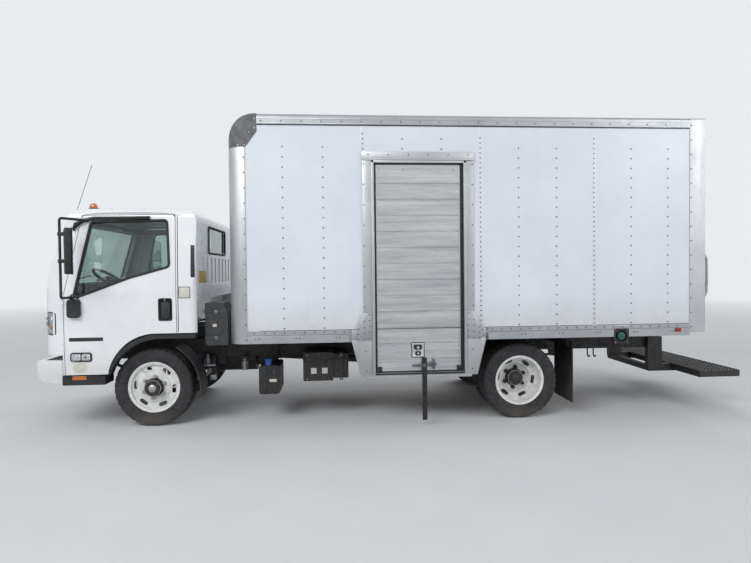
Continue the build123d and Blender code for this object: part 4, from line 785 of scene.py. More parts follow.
def rivet_rows(name, rows, radius=8, height=3, facing="-Y"):
    """Round-headed rivets in rows: a row is its first place, the step to the next one and their count."""
    turn = {"-Y": (pi / 2, 0, 0), "+Y": (-pi / 2, 0, 0), "+X": (0, pi / 2, 0), "-X": (0, -pi / 2, 0)}[facing]
    clear()
    bpy.ops.mesh.primitive_cylinder_add(vertices=8, radius=radius * MM, depth=height * MM, location=(0, 0, 0))
    head = bpy.context.object
    inset(head, "Z", radius * 0.36, height * 0.42)
    smooth(head, 50)
    head.rotation_euler = turn
    settle(head)
    rivets = [arrayed(copied(head, name, move=start), count, step)
              for start, step, count in rows if count > 0]
    bpy.data.objects.remove(head)
    return joined(name, rivets)


def single(*places):
    """Rows for rivet_rows with one rivet at each place."""
    return [(place, (0, 0, 0), 1) for place in places]


def box_side_rivets(finish):
    """Rivet columns of the side panels: close together at the panel joints, wider apart along the posts."""
    left, right = [], []
    low_z, high_z = wall_low.z + 22, wall_high.z - 22
    for index, x in enumerate(column_x):
        pitch = 50 if index in joint_columns else 100
        base_z = jamb_high.z + 30 if door_span[0] < x < door_span[1] else low_z
        left.append(((x, PANEL_Y - 1, base_z), (0, 0, pitch), int((high_z - base_z) / pitch)))
        right.append(((x, -PANEL_Y + 1, low_z), (0, 0, pitch), int((high_z - low_z) / pitch)))
    finished(rivet_rows("panel_rivets_left", left), "chassis", finish, "white_panel")
    finished(rivet_rows("panel_rivets_right", right, facing="+Y"), "chassis", finish, "white_panel")


def box_rail_rivets(finish):
    """Rivets along the top and bottom rails, the front posts and the rear posts."""
    close, wide, on_posts = 99, 398, 150
    rail_start, rail_end = nose_high.x + 40, rear_low.x - 30
    sill_start, sill_end = rail_start - 90, rear_low.x - 20
    seam_z, low_z = rails_low.z + 104, rails_low.z + 48
    face_y = RAIL_Y - 1
    top_count = int((rail_end - rail_start) / (2 * close))
    rows = [((rail_start, face_y, rails_high.z - 72), (2 * close, 0, 0), top_count)]
    for start, end in ((sill_start, door_low.x - 190), (door_high.x + 190, sill_end)):
        rows.append(((start, face_y, seam_z), (close, 0, 0), int((end - start) / close)))
        for shift in (12, 48):
            rows.append(((start + shift, face_y, low_z), (wide, 0, 0), int((end - start) / wide) + 1))
    rows.append(((nose_high.x - 130, RAIL_Y - 2, rails_low.z + 40), (0, 0, on_posts), 13))
    rows.append(((rear_low.x + 16, rear_low.y - 1, rear_low.z + 60), (0, 0, on_posts), 15))
    finished(rivet_rows("rail_rivets_left", rows), "chassis", finish, "galvanised")
    right = [((x, -y, z), step, count) for (x, y, z), step, count in rows[:1] + rows[-2:]]
    right.append(((sill_start, -face_y, seam_z), (close, 0, 0), int((sill_end - sill_start) / close)))
    finished(rivet_rows("rail_rivets_right", right, facing="+Y"), "chassis", finish, "galvanised")


def panel_joints(finish):
    """The lapped edge where one side sheet covers the next, a few millimetres proud."""
    strips = []
    for index in joint_columns:
        x, top_z = column_x[index], wall_high.z
        base_z = jamb_high.z if door_span[0] < x < door_span[1] else wall_low.z
        strips.append(bar("lap", (x - 20, PANEL_Y - 1.6, base_z), (x + 20, PANEL_Y + 1, top_z), 0.8))
        strips.append(bar("lap", (x - 20, -PANEL_Y - 1, wall_low.z), (x + 20, -PANEL_Y + 1.6, top_z), 0.8))
    made("panel_lap_joints", strips, "chassis", finish, "white_panel")


def rail_bands(metal, dark):
    """Two lips along each top rail, and black strips of painted shadow: one under the lips and one in the gap
    over each bottom rail.
    """
    lips, channels = [], []
    start, end = nose_high.x, rear_low.x
    high_z, low_z, shadow_line_z, gap_shade_z = rails_high.z - 52, 3034, 3022, wall_low.z - 1
    for side in (-1, 1):
        face, wall = side * -RAIL_Y, side * -PANEL_Y
        lips.append(bar("lip", (start, face, high_z), (end, face + side * 3, high_z + 8), 1))
        lips.append(bar("lip", (start, face, low_z), (end, face + side * 4, low_z + 8), 1.2))
        # These two black strips are painted shadow: a shadow line under the top rail's lips and the shade in
        # the gap over the bottom rail.
        channels.append(bar("painted_shadow_line", (start, face - side * 4, shadow_line_z), (end, face + side, shadow_line_z + 9), 1))
        channels.append(bar("gap", (start, wall - side * 2, gap_shade_z), (end, wall + side * 1.5, gap_shade_z + 5), 0.6))
    made("rail_lips", lips, "chassis", metal, "rail_aluminium")
    made("rail_painted_shadow_strips", channels, "chassis", dark, "rail_aluminium")


def corner_post(metal, bolt):
    """The rounded posts at the box's front corners with a flat flange on each face, and the wall's rivets."""
    radius, thickness, top_z = 173.5, 4, 2806
    centre_x, centre_y = nose_low.x + 172, nose_low.y + 172
    outer, inner = [], []
    for step in range(17):
        angle = radians(180 + 90 * step / 16)
        for line, reach in ((outer, radius), (inner, radius - thickness)):
            line.append((centre_x + reach * cos(angle), centre_y + reach * sin(angle)))
    flange_front = [(nose_low.x + 2.5, centre_y + 36), (nose_low.x - 1.5, centre_y + 36)]
    flange_side = [(centre_x + 10, nose_low.y - 1.5), (centre_x + 10, nose_low.y + 2.5)]
    outline = flange_front + outer + flange_side + inner[::-1]
    post = prism("corner_post", outline, nose_low.z + 2, top_z, "XY", 0.8)
    pair(post, "corner_post", "chassis", metal, "rail_aluminium")
    rows = [((nose_low.x - 2, side * (centre_y + 22), nose_low.z + 80), (0, 0, 150), 13) for side in (-1, 1)]
    rows += [((nose_low.x - 1, y, nose_low.z + 60), (0, 0, 100), 19) for y in (-398, 0, 398)]
    finished(rivet_rows("front_wall_rivets", rows, facing="-X"), "chassis", bolt, "galvanised")


def cap_bolts(bolt):
    """Bolts of the moulded corner caps."""
    x, y = nose_high.x, RAIL_Y - 1
    bolts = single((nose_low.x + 182, y, 2822), (x - 70, y, 2948), (x - 20, y, 3080), (x - 20, y, 2990),
                   (nose_low.x + 120, RAIL_Y + 2, 2822))
    finished(rivet_rows("cap_bolts", bolts, radius=8, height=4), "chassis", bolt, "grey_plastic")


def side_door_curtain(metal):
    """The roll-up curtain: a deep top slat, eleven even ones and a bottom bar, hooked into each other."""
    left, right, face_y, back_y = door_low.x, door_high.x, CURTAIN_Y, CURTAIN_Y + 12
    half = SLAT_GAP / 2

    def slat(low_z, high_z):
        return bar("slat", (left, face_y, low_z), (right, back_y, high_z))

    low_slat = slat(door_low.z, SLAT_START - half)
    top_slat = slat(SLAT_START + 11 * SLAT_PITCH + half, door_high.z)
    middle = slat(SLAT_START + half, SLAT_START + SLAT_PITCH - half)
    hook = bar("hook", (left, face_y + 8, SLAT_START - 10), (right, face_y + 13, SLAT_START + 10))
    roll = tube("roll", [(x, face_y + 1, SLAT_START - 7) for x in (left, right)], 3, soft=False)
    slats = [low_slat, top_slat] + [arrayed(piece, count, (0, 0, SLAT_PITCH))
                                    for piece, count in ((middle, 11), (hook, 12), (roll, 12))]
    low_z = SLAT_START - 34
    slats.append(bar("rib", (left + 60, face_y - 3, low_z), (right - 60, face_y + 2, low_z + 8), 1.5))
    curtain = apply_modifier(joined("side_door_slats", slats), "WEIGHTED_NORMAL", keep_sharp=True)
    finished(curtain, "chassis", metal, "slat_aluminium", "side_door")


def curtain_edges(metal, rubber, bolt):
    """The curtain's side seals, end channels, rubber stops and rivets."""
    left, right, y = door_low.x, door_high.x, CURTAIN_Y
    low_z, high_z = door_low.z, door_high.z
    seals = [bar("fin", (low_x, y - 8, low_z), (high_x, y + 2, high_z), 3)
             for low_x, high_x in ((left, left + 20), (right - 32, right))]
    seals.append(bar("fin", (left, y - 8, high_z - 14), (right, y + 2, high_z), 3))
    seals.append(bar("fin", (left, y - 6, low_z), (right, y + 2, low_z + 14), 3))
    made("curtain_side_seals", seals, "chassis", rubber, "black_plastic")
    stops = [bar("stop", (x, y - 22, low_z + 14), (x + 42, y, low_z + 60), 6, 3)
             for x in (left + 24, right - 76)]
    made("curtain_stops", stops, "chassis", rubber, "black_plastic")
    channels = [bar("channel", (low_x, y - 5, low_z + 14), (high_x, y + 1, high_z - 14), 1.5)
                for low_x, high_x in ((left + 22, left + 30), (right - 44, right - 34))]
    made("curtain_channels", channels, "chassis", metal, "slat_aluminium")
    rows = single(*[(behind(x), y - 1, high_z - 66) for x in (2323, 2565, 2840, 3076)])
    rows += [((x, y - 1, low_z + 100), (0, 0, SLAT_PITCH), 2) for x in (left + 52, right - 56)]
    finished(rivet_rows("curtain_rivets", rows, radius=6), "chassis", bolt, "slat_aluminium")


# Columns beside each jamb: outward reach from its outer edge, depth, lowest height, pitch and count
FRAME_RIVETS = ((54, 11, 892, 52, 3), (-60, 11, 904, 58, 5), (-8, 11, 892, 60, 4), (-12, 1, 1215, 204, 8),
                (-22, 1, 570, 200, 2))


def side_door_frame(metal, rail, bolt, rubber):
    """Jambs with raised inner lips, the header, the hanging skirt, its sill and the two riveted gussets."""
    back_y = wall_low.y + 40
    left, right = door_low.x, door_high.x
    jambs = (left - 116, right + 102)
    skirt_z, foot_z, lip_z = jamb_low.z, door_low.z - 8, door_high.z + 24
    header_z = jamb_high.z - HEADER_HEIGHT
    parts, ends, gussets, rows = [], [], [], []
    for outer, inner, out in ((jambs[0], left, -1), (jambs[1], right, 1)):
        parts.append(bar("jamb", (outer, FACE_Y, 872), (inner, back_y, header_z)))
        for name, start, end, proud, edge in (("lip", 27, 0, 8, 3), ("bead", 40, 36, 3, 1)):
            low, high = (inner + out * start, FACE_Y - proud, foot_z), (inner + out * end, FACE_Y + 2, lip_z)
            parts.append(bar(name, low, high, edge))
        outline = [(outer + out * 120, 862), (outer + out * 32, skirt_z), (inner, skirt_z), (inner, 880),
                   (outer + out * 120, 880)]
        parts.append(prism("skirt", outline, FACE_Y + 1, back_y))
        ends.append(bar("rail_end", (outer + out * 150, RAIL_Y, rails_low.z), (outer, back_y, wall_low.z)))
        outline = [(outer + out * 68, 872), (outer + out * 68, 1012), (outer - out * 2, 1156),
                   (outer - out * 74, 1156), (outer - out * 74, 884)]
        gussets.append(prism("gusset", outline, FACE_Y - 10, FACE_Y + 2))
        rows += [((outer + out * reach, FACE_Y - depth, low_z), (0, 0, pitch), count)
                 for reach, depth, low_z, pitch, count in FRAME_RIVETS]
    parts.append(bar("header", (left, FACE_Y, door_high.z), (right, back_y, header_z)))
    parts.append(bar("lip", (left - 27, FACE_Y - 8, door_high.z), (right + 27, FACE_Y + 2, lip_z), 3))
    low_x, high_x = jambs[0] - 4, jambs[1] + 2
    parts.append(bar("cap", (low_x, FACE_Y - 6, header_z), (high_x, back_y, jamb_high.z), 3))
    parts.append(bar("edge", (low_x, FACE_Y - 9, header_z), (high_x, FACE_Y, header_z + 10)))
    parts.append(bar("threshold", (left, FACE_Y, skirt_z), (right, back_y, door_low.z - 1)))
    made("side_door_frame_sheet", parts, "chassis", metal, "rail_aluminium", "side_door_frame")
    rows.append(((jambs[0] + 60, FACE_Y - 7, jamb_high.z - 30), (202, 0, 0), 6))
    made("rail_ends", ends, "chassis", rail, "rail_aluminium")
    made("skirt_gussets", gussets, "chassis", rail, "rail_aluminium")
    finished(rivet_rows("frame_rivets", rows, radius=7.5), "chassis", bolt, "galvanised")
    sill = bar("door_sill", (jambs[0] + 26, FACE_Y + 3, 490), (jambs[1] - 26, FACE_Y + 30, 516), 4, 3)
    finished(sill, "chassis", metal, "rail_aluminium")
    # A black strip above the sill stands for the shade in the gap there: painted shade.
    gap = bar("sill_gap_painted_shade", (left, FACE_Y - 3, 524), (right, FACE_Y + 6, 543))
    finished(gap, "chassis", rubber, "black_plastic")


def side_door_latch(metal, gasket, dull):
    """The slam latch on its gasket, with two finger cups, and the lever that ends in a T-handle."""
    low, high = corners("side_door_latch")
    left, right, base_z, top_z = behind(2641), behind(2762), 698, 842
    seat = prism("latch_gasket", rounded((left - 7, base_z - 7), (right + 7, top_z + 7), 10), CURTAIN_Y + 1,
                 CURTAIN_Y - 5, edge=1.5)
    finished(seat, "chassis", gasket, "black_plastic")
    body = bar("latch_body", (left, low.y + 6, base_z), (right, CURTAIN_Y, top_z), 4, 3)
    inset(body, "-Y", 9, -4)
    finished(body, "chassis", metal, "latch_chrome", "side_door_latch")
    cups, studs = [], []
    middle = (left + right) / 2
    for z, half, tall in ((736, 30, 22), (796, 40, 24)):
        outline = rounded((middle - half, z - tall), (middle + half, z + tall), 18)
        cups.append(prism("cup", outline, low.y + 9, low.y + 3))
        profile = [(1, 0), (1, half * 0.42), (-5, half * 0.34), (-6, 0)]
        studs.append(turned("stud", (middle, low.y + 3, z), "Y", profile, 20))
    made("latch_cups", cups, "chassis", gasket, "black_plastic")
    made("latch_studs", studs, "chassis", metal, "latch_chrome")
    outline = [(low.x, 604), (low.x + 16, 596), (behind(2812), 602), (high.x - 6, 590), (high.x, 640),
               (high.x - 60, 644), (behind(2790), 624), (low.x + 8, 622)]
    lever = prism("lever", outline, low.y, CURTAIN_Y, edge=4, segments=3)
    grip = bar("grip", (high.x - 34, low.y - 10, 572), (high.x - 8, low.y + 8, 680), 8, 3)
    head = bar("head", (high.x - 62, low.y - 10, 612), (high.x + 6, low.y + 8, 640), 8, 3)
    profile = [(2, 0), (-7, 0), (-10, 10), (-10, 17), (-5, 22), (2, 22), (2, 0)]
    pivot = turned("pivot", (strap_x, low.y, 613), "Y", profile, 24)
    made("latch_lever", [lever, grip, head, pivot], "chassis", dull, "latch_chrome")


def fuel_filler_details(teal, bolt, dark, rail):
    """The filler's ribbed cap and grip bar, its housing's lip and bolts, and the rail's strip over it."""
    low, high = corners("fuel_filler")
    over_low, over_high = (low.x - 2, RAIL_Y + 1, high.z - 2), (high.x + 2, wall_low.y + 10, high.z + 38)
    strip = bar("filler_rail_strip", over_low, over_high, 1)
    finished(strip, "chassis", rail, "rail_aluminium")
    x, y, z = (low.x + high.x) / 2, low.y, (low.z + high.z) / 2
    steps = 36
    profile = [(22, 0), (22, 43), (4, 43), (-3, 40), (-6, 30), (-6, 0)]
    cap = turned("filler_cap", (x, y, z), "Y", profile, steps)

    def rib(centre, normal):
        out = Vector((centre.x - x, centre.z - z))
        return out.length > 41 and int(atan2(out.y, out.x) / (2 * pi / steps) + steps) % 2 == 0

    sunk(cap, rib, 2.5)
    grip = bar("cap_grip", (x - 34, y - 16, z - 7), (x + 34, y - 3, z + 7), 5, 3)
    made("filler_cap", [cap, grip], "chassis", teal, "black_plastic")
    lip = turned("filler_lip", (x, y, z), "Y", [(6, 60), (-3, 60), (-5, 64), (-3, 70), (2, 72), (6, 60)], 40)
    finished(lip, "chassis", dark, "black_plastic")
    across = (high.x - low.x - 28, 0, 0)
    rows = [((low.x + 14, y - 1, bolt_z), across, 2) for bolt_z in (low.z + 14, high.z - 14)]
    finished(rivet_rows("filler_bolts", rows, radius=8, height=5), "chassis", bolt, "galvanised")


def side_reflectors(red_lens):
    """Red reflectors low on the bottom rail near the rear, one on each side."""
    left = bar("reflector", (behind(5419), RAIL_Y - 6, 903), (behind(5485), RAIL_Y, 943), 3, 3)
    pair(left, "rear_reflector", "chassis", red_lens, "red_lens")


def rear_door_hardware(metal, bolt, rubber):
    """The rear door's hinges, latch and seals, and the grab bar and rivets on its frame."""
    low, high = corners("rear_door")
    face, pitch = high.x, (high.z - low.z) / 6
    hinge_z = low.z + pitch
    hinges = []
    for y in (-820, -410, 0, 410, 820):
        leaf = bar("leaf", (face, y - 34, hinge_z - 30), (face + 5, y + 34, hinge_z + 30), 1.6)
        pin = turned("pin", (face + 5, y - 34, hinge_z), "Y", [(0, 0), (0, 7), (68, 7), (68, 0)], 12)
        hinges.append(arrayed(joined("hinge", [leaf, pin]), 5, (0, 0, pitch)))
    made("rear_door_hinges", hinges, "chassis", metal, "galvanised")
    seals = [bar("seal", (face - 4, y, low.z), (face + 16, y + 26, high.z), 5, 3)
             for y in (low.y, high.y - 26)]
    seals.append(bar("seal", (face - 4, low.y, high.z - 26), (face + 16, high.y, high.z), 5, 3))
    seals.append(bar("seal", (face - 6, low.y + 20, low.z), (face + 12, high.y - 20, low.z + 28), 8, 3))
    made("rear_door_seals", seals, "chassis", rubber, "black_plastic")
    latch = [bar("plate", (face, -110, low.z + 60), (face + 6, 110, low.z + 220)),
             bar("lever", (face + 6, -26, low.z + 40), (face + 28, 26, low.z + 250), 7, 3),
             bar("hasp", (face + 6, 46, low.z + 80), (face + 22, 84, low.z + 190), 4)]
    made("rear_door_latch", latch, "chassis", metal, "latch_chrome")
    grab_y = -1150
    bends = ((0, 1250), (60, 1262), (66, 1420), (66, 1560), (60, 1718), (0, 1730))
    route = [(rear_high.x + out, grab_y, z) for out, z in bends]
    finished(tube("rear_grab_bar", route, 13), "chassis", bolt, "galvanised")
    rows = [((rear_high.x + 1, y, rear_low.z + 130), (0, 0, 150), 13) for y in (-1204, 1204)]
    rows.append(((rear_high.x + 1, -1050, rear_high.z - 22), (0, 150, 0), 15))
    finished(rivet_rows("rear_frame_rivets", rows, facing="+X"), "chassis", bolt, "galvanised")


def rear_lamp_grommets(rubber):
    """Rubber grommets round the rear lamps."""
    low_z = corners("rear_lamps")[0].z
    rims = [bar("grommet", (rear_high.x, y - 92, low_z - 8), (rear_high.x + 9, y + 92, low_z + 64), 4)
            for y in (-1080, -880, 880, 1080)]
    made("rear_lamp_grommets", rims, "chassis", rubber, "black_plastic")


def step_tread(metal):
    """Raised grip teeth over the rear step's deck, in staggered rows, and the deck's rolled edges."""
    deck_depth, half_width, top_z = 469, 1000, 438
    pitch_x, pitch_y = 44, 48
    rear_x = corners("rear_step")[1].x
    deck_x = rear_x - deck_depth
    clear()
    bpy.ops.mesh.primitive_cone_add(vertices=6, radius1=13 * MM, radius2=8 * MM, depth=5 * MM,
                                    location=Vector((deck_x + 24, 30 - half_width, top_z + 2)) * MM)
    tooth = bpy.context.object
    inset(tooth, "Z", 3, -2.5)
    settle(tooth)
    second = copied(tooth, "tooth_row", move=(pitch_x / 2, pitch_y / 2, 0))
    block = joined("step_grip_teeth", [tooth, second])
    arrayed(block, 10, (pitch_x, 0, 0))
    arrayed(block, 40, (0, pitch_y, 0))
    finished(smooth(block, 30), "chassis", metal, "black_steel")
    edges = [bar("edge", (low_x, -half_width, 372), (high_x, half_width, 444), 3)
             for low_x, high_x in ((rear_x - 12, rear_x), (deck_x, deck_x + 10))]
    made("step_rolled_edges", edges, "chassis", metal, "black_steel")


# Cab
BELT_Z = 1380
SKIN_Y = -1032
SKIN_LEAN = 55 / 861
SKIN_LEAN_DEGREES = 3.655
NOSE_LINE = ((765, -1045), (1075, -1060), (1290, -1045), (1440, -1020), (2241, -762))
NOSE_RADIUS = 200
NOSE_FRONT = -1062
REAR_WALL_LEAN = 0.0077
MIRROR_TOE = 28
WINDOW_LINE = ((-729, 1361), (-566, 2096), (177, 2112), (198, 1641), (-200, 1530), (-560, 1392), (-700, 1345))
WINDSHIELD_LINE = ((-900, 1462), (-840, 2090), (840, 2090), (900, 1462))
REAR_WINDOW_LINE = ((-450, 1790), (-450, 2085), (450, 2085), (450, 1790))


def skin_y(z):
    """How far out the left side of the cab lies at a height."""
    return SKIN_Y + SKIN_LEAN * max(0, z - BELT_Z)


def nose_x(y, z):
    """Where the cab's front face lies at a place across and a height."""
    for (low_z, low_x), (high_z, high_x) in zip(NOSE_LINE, NOSE_LINE[1:]):
        if z <= high_z:
            break
    face = low_x + (high_x - low_x) * (max(z, low_z) - low_z) / (high_z - low_z)
    past = min(NOSE_RADIUS, max(0, abs(y) - (-SKIN_Y - NOSE_RADIUS)))
    corner = NOSE_FRONT + NOSE_RADIUS - (NOSE_RADIUS**2 - past**2) ** 0.5
    return behind(max(face, corner))


def softened(points, radius):
    """Control points that round each corner of a closed line."""
    soft = []
    for index, place in enumerate(points):
        here = Vector(place)
        before = (Vector(points[index - 1]) - here).normalized()
        after = (Vector(points[(index + 1) % len(points)]) - here).normalized()
        soft += [here + before * radius, here, here + after * radius]
    return soft


def rounded(low, high, radius):
    """A rectangle's outline with round corners."""
    outline = []
    middles = ((high[0] - radius, high[1] - radius), (low[0] + radius, high[1] - radius),
               (low[0] + radius, low[1] + radius), (high[0] - radius, low[1] + radius))
    for quarter, (u, v) in enumerate(middles):
        for step in range(5):
            angle = radians(90 * quarter + 22.5 * step)
            outline.append((u + radius * cos(angle), v + radius * sin(angle)))
    return outline


def set_back(outline):
    """An outline given as (distance behind the front axle, height), as places in the frame."""
    return [(behind(u), v) for u, v in outline]


def plate(name, low, high, radius, depth, edge=1.5):
    """A round-cornered plate on the cab's left side: corners are (distance behind the axle, height)."""
    return prism(name, set_back(rounded(low, high, radius)), SKIN_Y + 1, SKIN_Y - depth, edge=edge)


def window_rubbers(rubber):
    """Black rubber round the door windows, the windshield and the rear window."""
    line = [(behind(u), skin_y(z) - 1, z) for u, z in WINDOW_LINE]
    ring = tube("ring", softened(line, 70), 13, closed=True)
    pair(ring, "door_window_rubber", "door_{}", rubber, "black_plastic")
    line = [(nose_x(y, z) - 1, y, z) for y, z in WINDSHIELD_LINE]
    ring = tube("windshield_rubber", softened(line, 60), 13, closed=True)
    finished(ring, "cab", rubber, "black_plastic")
    line = [(behind(464) + (z - 1460) * REAR_WALL_LEAN, y, z) for y, z in REAR_WINDOW_LINE]
    ring = tube("rear_window_rubber", softened(line, 50), 12, closed=True)
    finished(ring, "cab", rubber, "black_plastic")


def rain_visors(smoked):
    """Smoked rain deflectors over the door windows."""
    outer = [(-742, 2020), (-722, 2084), (-640, 2128), (-535, 2150), (13, 2152)]
    inner = [(20, 2118), (-528, 2114), (-622, 2092), (-690, 2050), (-724, 2000)]
    flange = outer[1:] + [(13, 2138), (-535, 2137), (-640, 2116), (-716, 2074)]
    low_y = skin_y(2100)
    visor = prism("visor", set_back(outer + inner), low_y - 26, low_y - 20)
    foot = prism("visor_foot", set_back(flange), low_y - 22, low_y + 4, edge=1)
    pair(joined("visor", [visor, foot]), "rain_visor", "door_{}", smoked, "black_plastic")


def door_handles(plastic, metal):
    """The black cup with its paddle, and the key cylinder above it."""
    cup = plate("cup", (88, 1092), (226, 1322), 22, 5)
    choose_faces(cup, lambda centre, normal: normal.y < -0.95)
    bpy.ops.mesh.inset(thickness=9 * MM, depth=0)
    bpy.ops.mesh.extrude_region_move(TRANSFORM_OT_translate={"value": (0, 5 * MM, 0)})
    bpy.ops.object.mode_set(mode="OBJECT")
    paddle = plate("paddle", (116, 1112), (196, 1284), 14, 9, edge=4)
    finger = plate("finger", (184, 1120), (206, 1276), 8, 13, edge=4)
    pair(joined("handle", [cup, paddle, finger]), "door_handle", "door_{}", plastic, "black_plastic")
    profile = [(2, 0), (2, 10), (-8, 10), (-9, 8), (-9, 0)]
    lock = turned("lock", (behind(156), SKIN_Y - 3, 1301), "Y", profile, 20)
    pair(lock, "door_lock", "door_{}", metal, "latch_chrome")


def side_lamps(plastic, clear, bright, orange):
    """The lamp low on each door: a black bezel, a clear lamp and a clear turn lamp over an amber bulb."""
    bezel = plate("bezel", (-773, 696), (-563, 790), 26, 9, edge=3)
    pair(bezel, "side_lamp_bezel", "door_{}", plastic, "black_plastic")
    bowls = [plate("bowl", (start, 712), (end, 774), 14, 11) for start, end in ((-757, -672), (-660, -580))]
    pair(joined("bowls", bowls), "side_lamp_bowls", "door_{}", bright, "lamp_lens")
    profile = [(0, 0), (0, 13), (-5, 12), (-9, 7), (-10, 0)]
    bulb = turned("bulb", (behind(-621), SKIN_Y - 11, 743), "Y", profile, 20)
    pair(bulb, "side_lamp_bulb", "door_{}", orange, "amber_lens")
    panes = [plate("pane", (start, 709), (end, 777), 16, 23, edge=3)
             for start, end in ((-760, -669), (-663, -577))]
    pair(joined("lens", panes), "side_lamp_lens", "door_{}", clear, "lamp_lens")


def bare_plates(plastic, pale, yellow):
    """The bare badge strip and labels with nothing printed on them, and the housing under each mirror."""
    strip = plate("strip", (-782, 902), (-455, 938), 6, 4)
    pair(strip, "bare_badge_strip", "door_{}", plastic, "black_plastic")
    oval = [(-681 + 70 * cos(radians(a)), 636 + 52 * sin(radians(a))) for a in range(0, 360, 12)]
    label = prism("bare_oval_label", set_back(oval), SKIN_Y + 1, SKIN_Y - 1.2, edge=0.4)
    finished(label, "door_left", pale, "white_paint")
    base = plate("base", (-785, 1138), (-660, 1326), 34, 46, edge=10)
    inset(base, "-Y", 10, -3)
    pair(base, "lower_mirror_housing", "door_{}", plastic, "black_plastic")
    label_edge = plate("side_label_edge", (291, 1319), (407, 1435), 5, 3, edge=1)
    finished(label_edge, "cab", plastic, "black_plastic")
    label = plate("bare_side_label", (297, 1325), (401, 1429), 4, 4.2, edge=0.5)
    finished(label, "cab", pale, "white_paint")
    label = bar("bare_yellow_label", (behind(462), -895, 1470), (behind(467.5), -580, 1592), 0.5)
    finished(label, "cab", yellow, "white_paint")


def cab_vents(plastic):
    """The slotted outlet behind each door, on the cab's rear corner."""
    panel = bar("vent", (behind(410), SKIN_Y - 2.5, 1530), (behind(450), SKIN_Y + 30, 1858))
    fin = bar("fin", (behind(414), SKIN_Y - 5, 1546), (behind(446), SKIN_Y + 24, 1556))
    vent = joined("vent", [panel, arrayed(fin, 14, (0, 0, 21))])
    leaned = swung(vent, "leaned_vent", turn=-SKIN_LEAN_DEGREES, axis="X", pivot=(0, SKIN_Y, BELT_Z))
    pair(leaned, "cab_vent", "cab", plastic, "black_plastic")


def roof_gutters(white, rubber):
    """The gutter over each door and the seam down the pillar behind it."""
    route = [(-700, skin_y(2140) + 12, 2150), (-610, skin_y(2185), 2188), (-200, skin_y(2190), 2194),
             (250, skin_y(2190), 2192), (330, skin_y(2170) + 2, 2150)]
    gutter = tube("gutter", [(behind(u), y, z) for u, y, z in route], 6)
    pair(gutter, "roof_gutter", "cab", white, "white_paint")
    route = [(278, skin_y(2160), 2160), (282, skin_y(1700), 1700), (284, SKIN_Y, 1380), (284, SKIN_Y, 985)]
    seam = tube("seam", [(behind(u), y, z) for u, y, z in route], 3.5, soft=False)
    pair(seam, "pillar_seam", "cab", rubber, "black_plastic")


def steps_and_reflectors(amber_lens, plastic):
    """Amber reflectors on the black steps under the doors, and ribs on their treads."""
    low, high = corners("front_steps")
    face = bar("reflector", (behind(-762), -1026, 512), (behind(-626), -1019, 549), 3, 3)
    pair(face, "step_reflector", "cab", amber_lens, "amber_lens")
    rib = bar("rib", (low.x + 40, -1016, 551), (high.x - 60, -1008, 556))
    pair(arrayed(rib, 11, (0, 18, 0)), "step_ribs", "cab", plastic, "black_plastic")
    lip = bar("lip", (low.x + 6, -1023, 540), (high.x - 40, -1017, 552))
    pair(lip, "step_lip", "cab", plastic, "black_plastic")


def headlamp_insides(bright, plastic, orange):
    """A black surround on each clear headlamp, with two bowls and a turn bulb behind its lens."""
    outline = ((-1026, 962), (-1026, 1196), (-706, 1188), (-648, 1012))
    line = []
    for (y0, z0), (y1, z1) in zip(outline, outline[1:] + outline[:1]):
        for step in range(4):
            y, z = y0 + (y1 - y0) * step / 4, z0 + (z1 - z0) * step / 4
            line.append((nose_x(y, z) - 1, y, z))
    pair(tube("surround", line, 6, closed=True), "headlamp_surround", "cab", plastic, "black_plastic")
    bowls = []
    for y, z, radius in ((-800, 1090, 52), (-925, 1098, 48)):
        profile = [(0, radius), (2, radius + 4), (16, radius - 6), (18, 0), (15, 0), (13, radius * 0.5),
                   (3, radius - 3), (0, radius)]
        bowls.append(turned("bowl", (nose_x(y, z) + 6, y, z), "X", profile, 36))
    pair(joined("bowls", bowls), "headlamp_bowls", "cab", bright, "lamp_lens")
    profile = [(0, 0), (0, 18), (16, 20), (16, 0)]
    bulb = turned("bulb", (nose_x(-992, 1010) + 12, -990, 1040), "X", profile, 20)
    pair(bulb, "headlamp_turn_bulb", "cab", orange, "amber_lens")


def bumper_details(clear, bright, plastic, pale):
    """Fog lamps in their recesses, a slatted lower intake and a bare registration plate."""
    face_x = corners("front_bumper")[0].x
    rings = (
        ("ring", 6, [(0, 57), (-4, 55), (-4, 47), (22, 43), (22, 57), (0, 57)], 40, plastic, "black_plastic"),
        ("bowl", 22, [(0, 0), (0, 45), (10, 45), (10, 0)], 36, bright, "lamp_lens"),
        ("lens", 12, [(-6, 0), (-4, 24), (2, 44), (8, 44), (8, 0)], 36, clear, "lamp_lens"),
    )
    for part, depth, profile, steps, finish, slot in rings:
        piece = turned(part, (face_x + depth, -700, 606), "X", profile, steps)
        pair(piece, f"fog_lamp_{part}", "chassis", finish, slot)
    slat = bar("bumper_intake_slats", (face_x + 22, -430, 574), (face_x + 34, 430, 579))
    finished(arrayed(slat, 4, (0, 0, 12.5)), "chassis", plastic, "black_plastic")
    holder = bar("bare_front_plate", (face_x + 0.5, -264, 636), (face_x + 6, 264, 700))
    finished(holder, "chassis", pale, "grey_plastic")


